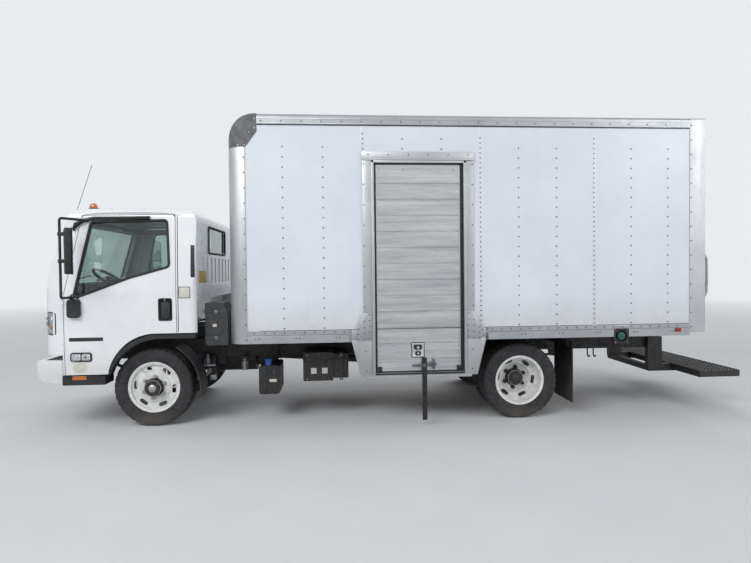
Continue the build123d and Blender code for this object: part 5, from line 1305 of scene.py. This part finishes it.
def wipers(plastic, rubber):
    """Two wiper arms with their blades, parked along the windshield's lower edge."""
    arms, blades = [], []
    reach = 520
    for y in (-560, 120):
        x = nose_x(y, 1448) - 12
        tip = (nose_x(y + reach, 1530) - 30, y + reach * 0.62, 1530)
        arms.append(turned("pivot", (x + 10, y, 1448), "X", [(6, 0), (6, 18), (-14, 16), (-16, 0)], 20))
        arms.append(tube("arm", [(x, y, 1448), (x - 12, y + reach * 0.2, 1478), tip], 7))
        shares = ((0.16, 1500), (0.6, 1526), (1.05, 1552))
        line = [(nose_x(0, z) - 17, y + reach * share, z) for share, z in shares]
        blades.append(tube("blade", line, 6))
        arms.append(tube("bridge", [(place_x - 9, place_y, z) for place_x, place_y, z in line], 4))
    made("wiper_arms", arms, "cab", plastic, "black_plastic")
    made("wiper_blades", blades, "cab", rubber, "black_plastic")


def antenna(metal, plastic):
    """The whip antenna on the front pillar, with its base."""
    whip = tube("antenna_whip", [(behind(-759), -905, 2150), (behind(-581), -902, 2682)], 2.6, soft=False)
    finished(whip, "cab", metal, "black_plastic")
    base = tube("antenna_base", [(behind(-770), -906, 2118), (behind(-752), -905, 2172)], 11, soft=False)
    finished(base, "cab", plastic, "black_plastic")


def roof_markers(orange, plastic):
    """Five amber marker lamps on the roof: a domed lens on a black foot."""
    low, high = corners("roof_lamps")
    middle_x = (low.x + high.x) / 2
    lenses, feet = [], []
    for y in (-840, -374, 0, 374, 840):
        outline = [(middle_x + u, y + v) for u, v in rounded((-52, -27), (52, 27), 22)]
        feet.append(prism("foot", outline, 2240.5, 2251, "XY"))
        centre = Vector((middle_x - 6, y, 2250))
        dome = turned("dome", centre, "Z", [(0, 0), (0, 26), (22, 25), (40, 20), (50, 10), (52, 0)], 28)
        pick(dome)
        bpy.ops.object.mode_set(mode="EDIT")
        bpy.ops.mesh.select_all(action="SELECT")
        bpy.ops.transform.resize(value=(1.6, 1, 1), center_override=centre * MM)
        bpy.ops.object.mode_set(mode="OBJECT")
        lenses.append(dome)
    made("roof_marker_lenses", lenses, "cab", orange, "amber_lens", "roof_lamps")
    made("roof_marker_feet", feet, "cab", plastic, "black_plastic")


def mirrors(plastic, silver, bolt):
    """Tall door mirrors: bent tubes carry a moulded shell with its glass facing back."""
    mirror_y, low_x, top_x, top_z = -1250, behind(-746), behind(-610), 2112
    top_y = skin_y(top_z)
    route = [(low_x, -1036, 1344), (low_x, -1196, 1344), (low_x, mirror_y, 1344), (low_x, mirror_y, 1400),
             (low_x, mirror_y, 2060), (low_x, mirror_y, top_z), (low_x + 30, -1200, top_z),
             (top_x, top_y - 6, top_z)]
    arm = tube("arm", route, 12.5, sides=3)
    low_foot = bar("foot", (low_x - 22, -1048, 1322), (low_x + 22, -1030, 1366), 6, 3)
    top_foot = bar("foot", (top_x - 22, top_y - 12, 2092), (top_x + 22, top_y + 3, 2132), 6, 3)

    def slab(heights, half, radius, front, back, edge, segments=2):
        outline = rounded((mirror_y - half, heights[0]), (mirror_y + half, heights[1]), radius)
        return prism("slab", outline, behind(front), behind(back), "YZ", edge, segments)

    shell = slab((1574, 2016), 96, 42, -704, -646, 12, 4)
    rim = slab((1570, 2020), 100, 45, -646, -636, 3)
    toe = {"turn": MIRROR_TOE, "pivot": (behind(-668), mirror_y, 0)}
    head = swung(joined("head", [shell, rim]), "toed_head", **toe)
    clamps = [bar("clamp", (low_x - 16, mirror_y - 16, z - 18), (behind(-698), mirror_y + 16, z + 18), 5)
              for z in (1700, 1960)]
    whole = joined("door_mirror", [arm, low_foot, top_foot, head, *clamps])
    pair(whole, "door_mirror", "door_{}", plastic, "mirror_body", "mirror_{}")
    panes = [slab(heights, 88, 34, -637, -633.5, 1) for heights in ((1750, 2010), (1580, 1738))]
    glass_pair = swung(joined("panes", panes), "toed_panes", **toe)
    pair(glass_pair, "mirror_glass", "door_{}", silver, "mirror_body")
    rows = [((x, -1049, 1332), (0, 0, 24), 2) for x in (low_x - 12, low_x + 12)]
    pair(rivet_rows("bolts", rows, radius=5), "mirror_foot_bolts", "door_{}", bolt, "mirror_body")


def steering(plastic, metal):
    """A round steering wheel: a padded rim, three spokes and a hub over the column."""
    centre = Vector((behind(-560), -510, 1500))
    lean = radians(35)
    axis = Vector((sin(lean), 0, cos(lean)))
    clear()
    bpy.ops.mesh.primitive_torus_add(location=centre * MM, rotation=(0, lean, 0), major_segments=64,
                                     minor_segments=14, major_radius=213 * MM, minor_radius=15 * MM)
    rim = bpy.context.object
    settle(rim)
    smooth(rim, 60)
    hub = turned("hub", centre, axis, [(-20, 0), (-20, 62), (-4, 74), (10, 70), (17, 56), (17, 0)], 36)
    spokes = []
    side = AXES["Y"]
    down = axis.cross(side)
    for way in (side, -side, -down if down.z > 0 else down):
        start, end = centre + way * 58, centre + way * 206
        spokes.append(tube("spoke", [start, (start + end) / 2 - axis * 3, end], 15, sides=3))
    body = node = "steering_wheel"
    made("steering_wheel_padded", [rim, hub, *spokes], body, plastic, "grey_plastic", node)
    column = tube("steering_column", [centre - axis * 12, centre - axis * 285], 24, soft=False, sides=4)
    finished(column, body, plastic, "grey_plastic")
    ring = turned("column_ring", centre - axis * 20, axis, [(-8, 0), (-8, 32), (4, 32), (4, 0)], 28)
    finished(ring, body, metal, "grey_plastic")


def dashboard_details(plastic, dark, screen):
    """Instrument hood and panel, air outlets and the radio."""
    outline = set_back([(-790, 1400), (-700, 1466), (-655, 1452), (-640, 1330)])
    hood = prism("instrument_hood", outline, -700, -320, edge=12, segments=3)
    finished(hood, "cab", plastic, "grey_plastic")
    panel = bar("instrument_panel", (behind(-652), -670, 1352), (behind(-638), -350, 1440), 5)
    finished(panel, "cab", screen, "grey_plastic")
    outlets = []
    for y in (-780, -250, 60, 740):
        outlets.append(bar("outlet", (behind(-668), y - 60, 1340), (behind(-636), y + 60, 1392), 6))
        fin = bar("fin", (behind(-640), y - 52, 1350), (behind(-630), y + 52, 1354), 1.5)
        outlets.append(arrayed(fin, 4, (0, 0, 10)))
    made("air_outlets", outlets, "cab", dark, "grey_plastic")
    radio = bar("radio", (behind(-660), -200, 1210), (behind(-640), 20, 1320), 5)
    keys = arrayed(bar("key", (behind(-642), -190, 1222), (behind(-634), -160, 1234)), 6, (0, 34, 0))
    made("radio_unit", [radio, keys], "cab", dark, "grey_plastic")


def shift_lever(dark):
    """The shift lever with its knob, in a pleated boot."""
    route = [(behind(-460), -90, 1050), (behind(-470), -90, 1200), (behind(-490), -90, 1330)]
    lever = tube("lever", route, 11)
    knob = turned("knob", route[-1], "Z", [(-10, 0), (-10, 20), (10, 27), (34, 25), (44, 12), (45, 0)], 24)
    pleats = [(0, 0), (0, 74), (18, 56), (34, 60), (50, 40), (66, 42), (84, 16), (84, 0)]
    boot = turned("boot", route[0], "Z", pleats, 28)
    made("shift_lever", [lever, knob, boot], "cab", dark, "grey_plastic")


def cabin_trim(plastic, belt_webbing):
    """Sun visors, a seat belt on each side and the doors' inner armrests."""
    visors = [bar("sun_visor", (behind(-690), low, 2085), (behind(-540), high, 2105), 8, 3)
              for low, high in ((-800, -120), (120, 800))]
    made("sun_visors", visors, "cab", plastic, "grey_plastic")
    route = [(262, -960, 1990), (262, -955, 1800), (252, -930, 1400), (220, -900, 1080)]
    belt = tube("belt", [(behind(u), y, z) for u, y, z in route], 14)
    pair(belt, "seat_belt", "cab", belt_webbing, "grey_plastic")
    rest = bar("rest", (behind(-480), -982, 1150), (behind(20), -930, 1210), 16, 4)
    pocket = bar("pocket", (behind(-600), -984, 900), (behind(-140), -950, 1060), 14, 3)
    pair(joined("armrest", [rest, pocket]), "door_armrest", "door_{}", plastic, "grey_plastic")


# Wheel details, chassis and seats
LUG_CIRCLE = 111
STUD_CIRCLE = 62
LUG_START = 23
VALVE_ANGLE = 100
SEAT_SPANS = ((-756, -264), (-136, 756))
HEADREST_SPANS = ((-640, -380), (400, 660))


def wheel_hardware(name, x, disc_y, hub_reach, body, hub_finish, nut_finish, cap_finish):
    """A dark hub with its cap, six nuts on their studs and a valve, for one wheel and its twin."""
    reach = hub_reach + 2

    def part(kind, place, profile, steps):
        return turned(kind, place, "Y", profile, steps)

    def six(radius, y):
        turns = [radians(LUG_START + 60 * index) for index in range(6)]
        return [(x + radius * cos(turn), y, wheel_radius + radius * sin(turn)) for turn in turns]

    outline = [(-0.5, 0), (-0.5, 97), (-7, 97), (-11, 88), (-24, 85), (6 - reach, 84.5), (-reach, 78),
               (-reach, 0)]
    pieces = [part("hub", (x, disc_y, wheel_radius), outline, 44)]
    pieces += [part("bolt", place, [(1, 0), (1, 10), (-6, 10), (-8, 7), (-8, 0)], 6)
               for place in six(STUD_CIRCLE, disc_y - reach)]
    pair(joined("hub", pieces), f"{name}_hub", body, hub_finish, "cast_parts")
    outline = [(1, 0), (1, 41), (-9, 39), (-15, 31), (-17, 12), (-17, 0)]
    cap = part("cap", (x, disc_y - reach, wheel_radius), outline, 36)
    pair(cap, f"{name}_hub_cap", body, cap_finish, "latch_chrome")
    nuts = []
    for place in six(LUG_CIRCLE, disc_y):
        nuts.append(part("washer", place, [(1, 0), (1, 23), (-7, 22), (-9, 19), (-9, 0)], 20))
        nuts.append(part("nut", place, [(-8, 0), (-8, 20), (-27, 20), (-31, 16), (-31, 0)], 6))
        nuts.append(part("stud", place, [(-30, 0), (-30, 10), (-41, 10), (-43, 8), (-43, 0)], 12))
    pair(joined("nuts", nuts), f"{name}_nuts", body, nut_finish, "latch_chrome")
    out = Vector((cos(radians(VALVE_ANGLE)), 0, sin(radians(VALVE_ANGLE))))
    root = Vector((x, disc_y + 24, wheel_radius)) + out * 212
    stem = tube("stem", [root, root + Vector((0, -20, 0)), root + out * 6 + Vector((0, -46, 0))], 4.5)
    pair(stem, f"{name}_valve", body, nut_finish, "rim_steel")


def rim_beads(white):
    """The rolled edge of each rim beside the tyre."""
    profile = [(2, 236), (2, 260), (-3, 262), (-6, 259), (-5, 253), (0, 248), (2, 236)]
    for name, x, y, body in (("front", front_axle_x, -922, "front_{}_wheel"),
                             ("rear", rear_axle_x, -1041, "rear_{}_wheels")):
        bead = turned("bead", (x, y, wheel_radius), "Y", profile, 72)
        pair(bead, f"{name}_rim_bead", body, white, "rim_steel")


def rail_bolts(bolt):
    """Bolt heads in the chassis rails at the brackets and cross-members."""
    places = [behind(600), behind(1250), behind(2150)]
    places += [rear_axle_x + reach for reach in (-810, -560, 490, 700, 1400)]
    rows = [((x + shift, -426, 668), (0, 0, 62), 3) for x in places for shift in (-30, 30)]
    pair(rivet_rows("bolts", rows, radius=12, height=12), "rail_bolts", "chassis", bolt, "black_steel")


def axle_clamps(bolt, dark):
    """U-bolts with their nuts over each leaf spring."""
    bolts, nuts = [], []
    low_z = 330
    for axle_x, top_z in ((front_axle_x, 500), (rear_axle_x, 560)):
        for x in (axle_x - 62, axle_x + 62):
            for y in (-432, -354):
                bolts.append(tube("u_bolt", [(x, y, low_z), (x, y, top_z)], 9, soft=False))
                nuts.append(turned("nut", (x, y, low_z - 4), "Z", [(0, 0), (0, 16), (16, 16), (16, 0)], 6))
    pair(joined("u_bolts", bolts), "spring_u_bolts", "chassis", bolt, "black_steel")
    pair(joined("nuts", nuts), "spring_nuts", "chassis", dark, "black_steel")


def fluid_tank_details(blue, steel, plastic, label):
    """The exhaust-fluid tank's blue cap, its straps, the ribs in its moulding and a bare label."""
    low, high = corners("def_tank")
    face = low.y
    profile = [(-44, 0), (-44, 34), (-6, 34), (0, 40), (22, 40), (27, 34), (27, 0)]
    cap = turned("fluid_cap", (behind(1157), face + 44, 634), "Z", profile, 30)
    finished(cap, "chassis", blue, "grey_plastic")
    straps = [bar("strap", (x, face - 4, 290), (x + 32, face + 3, 594), 1.5)
              for x in (low.x + 40, high.x - 72)]
    made("fluid_tank_straps", straps, "chassis", steel, "black_steel")
    tag = bar("bare_tank_label", (behind(1172), face - 5, 420), (behind(1246), face + 1, 450), 0.4)
    finished(tag, "chassis", label, "white_paint")
    rib = bar("fluid_tank_ribs", (low.x + 84, face - 3, 330), (high.x - 84, face + 2, 342))
    finished(arrayed(rib, 5, (0, 0, 50)), "chassis", plastic, "grey_plastic")


def battery_details(plastic, bolt, label):
    """Lid edge, straps with their bolts and two bare labels on the battery box."""
    low, high = corners("battery_box")
    face = low.y
    parts = [bar("lid", (low.x - 3, face - 4, 636), (high.x + 3, face + 4, 652), 3)]
    parts += [bar("strap", (x, face - 5, 424), (x + 32, face + 2, 716)) for x in (low.x + 28, high.x - 92)]
    made("battery_box_straps", parts, "chassis", plastic, "black_steel")
    rows = [((x, face - 5, 440), (0, 0, 250), 2) for x in (low.x + 44, high.x - 76)]
    finished(rivet_rows("battery_box_bolts", rows, radius=9, height=8), "chassis", bolt, "black_steel")
    tags = [bar("label", (behind(x), face - 1, 495), (behind(x + 58), face + 1, 556), 0.4)
            for x in (1606, 1722)]
    made("bare_battery_labels", tags, "chassis", label, "white_paint")


def air_cleaner_details(plastic, latch, label):
    """Two hoops round the air cleaner with their latches, and a bare label."""
    low, high = corners("air_cleaner")
    middle_x = (low.x + high.x) / 2
    hoop_z = (880, 1150)
    hoops = [bar("hoop", (low.x - 4, low.y - 4, z), (high.x + 4, low.y + 120, z + 26), 3) for z in hoop_z]
    latches = [bar("latch", (middle_x - 20, low.y - 12, z - 8), (middle_x + 20, low.y - 2, z + 34), 4)
               for z in hoop_z]
    made("air_cleaner_hoops", hoops, "chassis", plastic, "grey_plastic")
    made("air_cleaner_latches", latches, "chassis", latch, "grey_steel")
    tag = bar("bare_air_label", (low.x + 76, low.y - 1, 1010), (low.x + 116, low.y + 1, 1040), 0.4)
    finished(tag, "chassis", label, "white_paint")


def air_lines(dark):
    """Three air lines that hang behind the cab."""
    lines = []
    for index in range(3):
        y = -560 - 26 * index
        route = [(520, y, 1240 - 18 * index), (560, y - 20, 1100), (600, y - 40, 960 - 12 * index),
                 (660, y - 20, 900), (700, y, 840)]
        lines.append(tube("air_line", [(behind(u), line_y, z) for u, line_y, z in route], 8))
    made("air_lines", lines, "chassis", dark, "black_plastic")


def filter_and_valve(plastic, metal, dark, dull):
    """The fluid filter on its bracket and the air valve on its shelf with a hanger, ahead of the tanks."""
    profile = [(0, 0), (0, 30), (8, 36), (100, 36), (108, 30), (108, 22), (126, 22), (126, 0)]
    bottle = turned("fluid_filter", (behind(858), -520, 488), "Z", profile, 30)
    finished(bottle, "chassis", metal, "grey_steel")
    arm = bar("filter_bracket", (behind(828), -540, 612), (behind(888), -426, 640), 3)
    finished(arm, "chassis", plastic, "black_steel")
    hanger = bar("valve_hanger", (behind(486), -500, 392), (behind(536), -426, 650), 3)
    shelf = bar("shelf", (behind(405), -560, 542), (behind(538), -494, 562), 3)
    foot = bar("foot", (behind(480), -548, 386), (behind(546), -494, 444), 6, 3)
    made("valve_bracket", [shelf, foot], "chassis", metal, "grey_steel")
    finished(hanger, "chassis", dark, "black_steel")
    profile = [(0, 0), (0, 34), (14, 40), (74, 40), (90, 30), (112, 30), (118, 22), (118, 0)]
    valve = turned("air_valve", (behind(455), -528, 560), "Z", profile, 30)
    finished(valve, "chassis", dull, "grey_steel")


def silencer_bands(bolt):
    """Two clamp bands on the silencer."""
    low, high = corners("exhaust")
    bands = [bar("band", (x, high.y - 3, low.z + 30), (x + 36, high.y + 4, high.z - 30))
             for x in (low.x + 180, low.x + 640)]
    made("silencer_bands", bands, "chassis", bolt, "grey_steel")


def flap_details(bolt, rubber):
    """The mud flaps' weighted lower edges and their bolts."""
    flap_x = rear_axle_x + 565
    edges = [bar("edge", (flap_x - 5, side * 1060, 176), (flap_x + 17, side * 640, 196), 4)
             for side in (-1, 1)]
    made("flap_edges", edges, "chassis", rubber, "flap_rubber")
    rows = single(*[(flap_x + 13, y, 700) for y in (-1000, -850, -700, 700, 850, 1000)])
    bolts = rivet_rows("flap_bolts", rows, radius=11, height=8, facing="+X")
    finished(bolts, "chassis", bolt, "grey_steel")


def under_hooks(metal):
    """Hose hooks under the frame rail, ahead of the rear step."""
    hooks = []
    for x in (behind(4864), behind(4936)):
        route = [(x, -392, 640), (x, -392, 590), (x, -394, 545), (x + 4, -418, 520), (x + 6, -444, 546)]
        hooks.append(tube("hook", route, 8))
    pair(joined("hooks", hooks), "hose_hooks", "chassis", metal, "black_steel")


def seat_pads(seat, span, rest_span, cloth):
    """One seat's swollen cushion, back and headrest in woven cloth."""
    cushion = [(-322, 1130), (-330, 1180), (-296, 1204), (20, 1196), (60, 1180), (60, 1122)]
    back = [(50, 1180), (92, 1250), (150, 1620), (176, 1690), (250, 1690), (262, 1640), (206, 1330),
            (196, 1180)]
    rest = [(172, 1716), (182, 1880), (206, 1896), (262, 1896), (276, 1870), (262, 1716)]
    tuck = 14
    pads = []
    for part, outline, swell, (start, end) in (("cushion", cushion, 12, span), ("back", back, 12, span),
                                               ("headrest", rest, 7, rest_span)):
        name = f"seat_{part}_{seat}"
        pad = prism(name, set_back(outline), start + tuck, end - tuck, edge=26, segments=3)
        swollen(pad, swell)
        apply_modifier(pad, "SUBSURF", levels=1, render_levels=1)
        pads.append(finished(smooth(pad, 60), "cab", cloth, "seat_cloth"))
    return pads


def seat_seams(left, right):
    """One seat's sewn seams: two along its cushion and two up its back."""
    routes = ([(-300, 1203), (-150, 1203), (40, 1197)], [(88, 1250), (118, 1430), (150, 1630)])
    return [tube("seam", [(behind(u), left + (right - left) * share, z) for u, z in route], 2.6)
            for share in (0.34, 0.66) for route in routes]


def seat_bases(plastic):
    """The seats' base shells and feet, and the posts of their headrests."""
    base = set_back([(-320, 1104), (-320, 1134), (196, 1150), (212, 1104)])
    parts = [prism("shell", base, left + 20, right - 20, edge=8) for left, right in SEAT_SPANS]
    parts += [tube("post", [(behind(225), y, 1680), (behind(225), y, 1730)], 7, soft=False)
              for y in (-560, -460, 480, 580)]
    parts += [bar("foot", (behind(-260), left + 60, 1050), (behind(160), right - 60, 1106), 6)
              for left, right in SEAT_SPANS]
    made("seat_bases", parts, "cab", plastic, "grey_plastic")


def cab_seats(cloth, piping, plastic):
    """The driver's seat and the bench beside it."""
    pads, seams = [], []
    for seat, (span, rest_span) in enumerate(zip(SEAT_SPANS, HEADREST_SPANS)):
        pads += seat_pads(seat, span, rest_span, cloth)
        seams += seat_seams(*span)
    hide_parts("seats")
    made("seat_seams", seams, "cab", piping, "seat_cloth")
    seat_bases(plastic)


def swollen(pad, cap):
    """Blows a pad up as its filling does: a short cloth run under pressure, held to cap millimetres."""
    apply_modifier(pad, "REMESH", mode="VOXEL", voxel_size=11 * MM)
    rest = [vertex.co.copy() for vertex in pad.data.vertices]
    pick(pad)
    cloth = pad.modifiers.new("swell", "CLOTH")
    cloth.settings.use_pressure = True
    cloth.settings.uniform_pressure_force = 4
    cloth.settings.effector_weights.gravity = 0
    cloth.settings.quality = 5
    for frame_number in range(1, 21):
        bpy.context.scene.frame_set(frame_number)
    bpy.ops.object.modifier_apply(modifier=cloth.name)
    for vertex, start in zip(pad.data.vertices, rest):
        moved = vertex.co - start
        if moved.length > cap * MM:
            vertex.co = start + moved.normalized() * cap * MM
    bpy.context.scene.frame_set(1)


BACKDROP = "#E9ECEF"
# Name, place, aim, size (all in metres) and power in watts
STUDIO_LAMPS = (
    ("key_softbox", (-6.5, -9.0, 8.0), (-0.5, -1.0, 1.3), (7.0, 4.0), 720),
    ("fill_softbox", (8.5, -7.0, 5.0), (1.0, -1.0, 1.3), (5.0, 4.0), 250),
    ("back_softbox", (2.0, 9.5, 8.0), (0.0, 1.0, 1.6), (8.0, 4.0), 330),
)


def make_floor():
    """A pale floor that runs out into the pale background where the camera sees it."""
    clear()
    bpy.ops.mesh.primitive_circle_add(vertices=96, radius=60, fill_type="NGON", location=(0, 0, -0.001))
    floor = bpy.context.object
    floor.name = "studio_floor"
    settle(floor)
    material = studio_floor()
    tree = material.node_tree
    place = add(tree, "TexCoord").outputs["Object"]
    distance = add(tree, "VectorMath", {0: place}, operation="LENGTH").outputs["Value"]
    far = add(tree, "MapRange", {"Value": distance, "From Min": 7.0, "From Max": 26.0}).outputs[0]
    share = multiplied(far, add(tree, "LightPath").outputs["Is Camera Ray"])
    glow = add(tree, "Emission", {"Color": BACKDROP, "Strength": 1.0}).outputs[0]
    surface = tree.nodes["Principled BSDF"].outputs[0]
    mixed = add(tree, "MixShader", {0: share, 1: surface, 2: glow}).outputs[0]
    tree.links.new(mixed, tree.nodes["Material Output"].inputs["Surface"])
    floor.data.materials.append(material)


def make_sky():
    """Soft light from all round, which the camera, reflections and glass show as the pale background."""
    world = bpy.data.worlds.new("studio_world")
    bpy.context.scene.world = world
    world.use_nodes = True
    sky = world.node_tree
    rays = add(sky, "LightPath").outputs
    shown = rays["Is Camera Ray"]
    for kind in ("Is Glossy Ray", "Is Transmission Ray"):
        shown = add(sky, "Math", {0: shown, 1: rays[kind]}, operation="MAXIMUM").outputs[0]
    soft = add(sky, "Background", {"Color": "#F4F6FA", "Strength": 0.5}).outputs[0]
    pale = add(sky, "Background", {"Color": BACKDROP, "Strength": 1.0}).outputs[0]
    mixed = add(sky, "MixShader", {0: shown, 1: soft, 2: pale}).outputs[0]
    sky.links.new(mixed, sky.nodes["World Output"].inputs["Surface"])


def make_lamps():
    """The studio's soft lamps, each turned towards its aim."""
    for name, place, aim, size, power in STUDIO_LAMPS:
        data = bpy.data.lights.new(name, "AREA")
        data.shape = "RECTANGLE"
        data.size, data.size_y = size
        data.energy = power
        lamp = placed(name, data)
        lamp.location = place
        lamp.rotation_euler = (Vector(aim) - Vector(place)).to_track_quat("-Z", "Y").to_euler()


make_camera()
webbing = strap_webbing()
pull_strap(webbing)
bpy.context.scene.view_settings.view_transform = "Standard"
make_floor()
make_sky()
make_lamps()

cab_white = white_cab_enamel()
box_white = prepainted_box_sheet()
# The die lines run along the truck on the rails and upright on the posts
rail_metal = extruded_aluminium("extruded_rail_aluminium", "#B5B8BB", "#8B8E92", 0.36, 0.55, (24, 1, 1))
post_metal = extruded_aluminium("post_aluminium", "#BFC1C3", "#96989B", 0.42, 0.58, (1, 1, 24))
slat_metal = brushed_door_slat()
# The corner caps' dark grey is painted shade, darker than the caps' own colour; the paler patches are
# weathering.
cap_grey_with_painted_shade = moulded_plastic("weathered_cap_moulding_with_painted_shade", "#55565A", "#77777B", 0.55)
black_abs = moulded_plastic("grained_black_abs", "#17181A", "#2B2C2E", 0.55)
dash_grey = moulded_plastic("grained_dash_plastic", "#4B4B4D", "#5E5D5C", 0.62)
tank_grey = moulded_plastic("moulded_tank_plastic", "#2D2F31", "#46474A", 0.55)
teal_plastic = moulded_plastic("moulded_cap_plastic", "#17514C", "#2A6962", 0.5)
smoked = moulded_plastic("smoked_acrylic", "#0F1012", "#1C1D20", 0.16)
pale_label = blank_label("bare_pale_label", "#D2D0C8", "#BDBAB0")
yellow_label = blank_label("bare_yellow_label", "#C9A93A", "#B39A45")
blue_plastic = moulded_plastic("blue_cap_plastic", "#2456A8", "#3D6BB4", 0.45)
seal = seal_rubber()
tread_rubber = tyre_rubber()
guard_rubber = flap_rubber()
frame_black = chassis_paint()
step_black = rusted_step_steel()
wheel_white = wheel_enamel()
hub_dark = cast_hub()
zinc = zinc_plate("zinc_plate", "#B4B7BA", "#8A8783")
# Rivet heads darker than their zinc: partly painted shade, standing for the shadow round each head, and
# partly staining.
dull_rivet_with_painted_shade = zinc_plate("rivet_heads_stained_and_darkened_for_shade", "#75797F", "#55585C")
chrome = chrome_plate()
galvanised = galvanised_steel()
pipe_steel = aluminised_steel()
# The second colour of each lens is the painted shade in its grooves.
amber = lamp_plastic("amber_acrylic_lens", "#F08A1E", "#B85C0C")
red = lamp_plastic("red_acrylic_lens", "#B4161A", "#7C0C10")
lens = clear_lens()
glass = tinted_glass()
mirror_silver = silvered_mirror()
reflector = lamp_reflector()
seat_cloth = woven_seat_cloth()
floor_wood = laminated_floor_wood()

NODE_FINISHES = {
    cab_white: ("cab_shell", "cab_door_left", "cab_door_right", "front_bumper"),
    box_white: ("box_wall_left", "box_wall_right", "box_front_wall", "box_roof", "rear_door"),
    rail_metal: ("box_rails", "side_door_frame"),
    post_metal: ("rear_frame",),
    slat_metal: ("side_door",),
    cap_grey_with_painted_shade: ("box_corner_caps",),
    black_abs: ("front_grille", "front_steps", "mirror_left", "mirror_right", "fuel_filler", "fender_flares",
                "def_tank"),
    dash_grey: ("dashboard", "steering_wheel"),
    tank_grey: ("air_cleaner",),
    guard_rubber: ("mudguards",),
    tread_rubber: ("front_tyre_left", "front_tyre_right", "rear_tyres_left", "rear_tyres_right"),
    frame_black: ("frame_rail_left", "frame_rail_right", "frame_crossmembers", "engine_block",
                  "front_axle_beam", "leaf_springs", "rear_axle", "driveshaft", "knuckle_left",
                  "knuckle_right", "tie_rod", "battery_box", "fuel_tank"),
    step_black: ("rear_step",),
    wheel_white: ("front_rim_left", "front_rim_right", "rear_rims_left", "rear_rims_right"),
    chrome: ("side_door_latch",),
    galvanised: ("box_underframe", "side_door_well"),
    pipe_steel: ("exhaust",),
    amber: ("roof_lamps",),
    red: ("rear_lamps",),
    lens: ("headlamps",),
    glass: ("cab_glass", "door_glass_left", "door_glass_right"),
    seat_cloth: ("seats",),
    floor_wood: ("box_floor",),
    webbing: ("pull_strap",),
}
for finish, nodes in NODE_FINISHES.items():
    for node in nodes:
        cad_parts[node].data.materials.clear()
        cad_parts[node].data.materials.append(finish)

all_tyres(tread_rubber)
box_side_rivets(dull_rivet_with_painted_shade)
box_rail_rivets(dull_rivet_with_painted_shade)
panel_joints(box_white)
rail_bands(rail_metal, seal)
corner_post(post_metal, dull_rivet_with_painted_shade)
cap_bolts(zinc)
side_door_curtain(slat_metal)
curtain_edges(post_metal, seal, dull_rivet_with_painted_shade)
side_door_frame(post_metal, rail_metal, dull_rivet_with_painted_shade, seal)
side_door_latch(chrome, seal, dull_rivet_with_painted_shade)
fuel_filler_details(teal_plastic, dull_rivet_with_painted_shade, seal, rail_metal)
side_reflectors(red)
rear_door_hardware(galvanised, zinc, seal)
rear_lamp_grommets(seal)
step_tread(step_black)
window_rubbers(seal)
rain_visors(smoked)
door_handles(black_abs, dull_rivet_with_painted_shade)
side_lamps(black_abs, lens, reflector, amber)
bare_plates(black_abs, pale_label, yellow_label)
cab_vents(black_abs)
roof_gutters(cab_white, seal)
steps_and_reflectors(amber, black_abs)
headlamp_insides(reflector, black_abs, amber)
bumper_details(lens, reflector, black_abs, pale_label)
wipers(black_abs, seal)
antenna(black_abs, seal)
roof_markers(amber, black_abs)
mirrors(black_abs, mirror_silver, zinc)
steering(dash_grey, chrome)
dashboard_details(dash_grey, black_abs, smoked)
shift_lever(black_abs)
cabin_trim(dash_grey, webbing)
FRONT_DISC_Y, REAR_DISC_Y = -910, -852
wheel_hardware("front", front_axle_x, FRONT_DISC_Y, 70, "front_{}_wheel", hub_dark, zinc, zinc)
wheel_hardware("rear", rear_axle_x, REAR_DISC_Y, 60, "rear_{}_wheels", hub_dark, hub_dark, hub_dark)
rim_beads(wheel_white)
rail_bolts(frame_black)
axle_clamps(frame_black, zinc)
fluid_tank_details(blue_plastic, frame_black, black_abs, pale_label)
battery_details(frame_black, zinc, pale_label)
air_cleaner_details(tank_grey, dull_rivet_with_painted_shade, pale_label)
air_lines(black_abs)
filter_and_valve(tank_grey, galvanised, black_abs, dull_rivet_with_painted_shade)
silencer_bands(galvanised)
flap_details(zinc, guard_rubber)
under_hooks(frame_black)
cab_seats(seat_cloth, seal, black_abs)
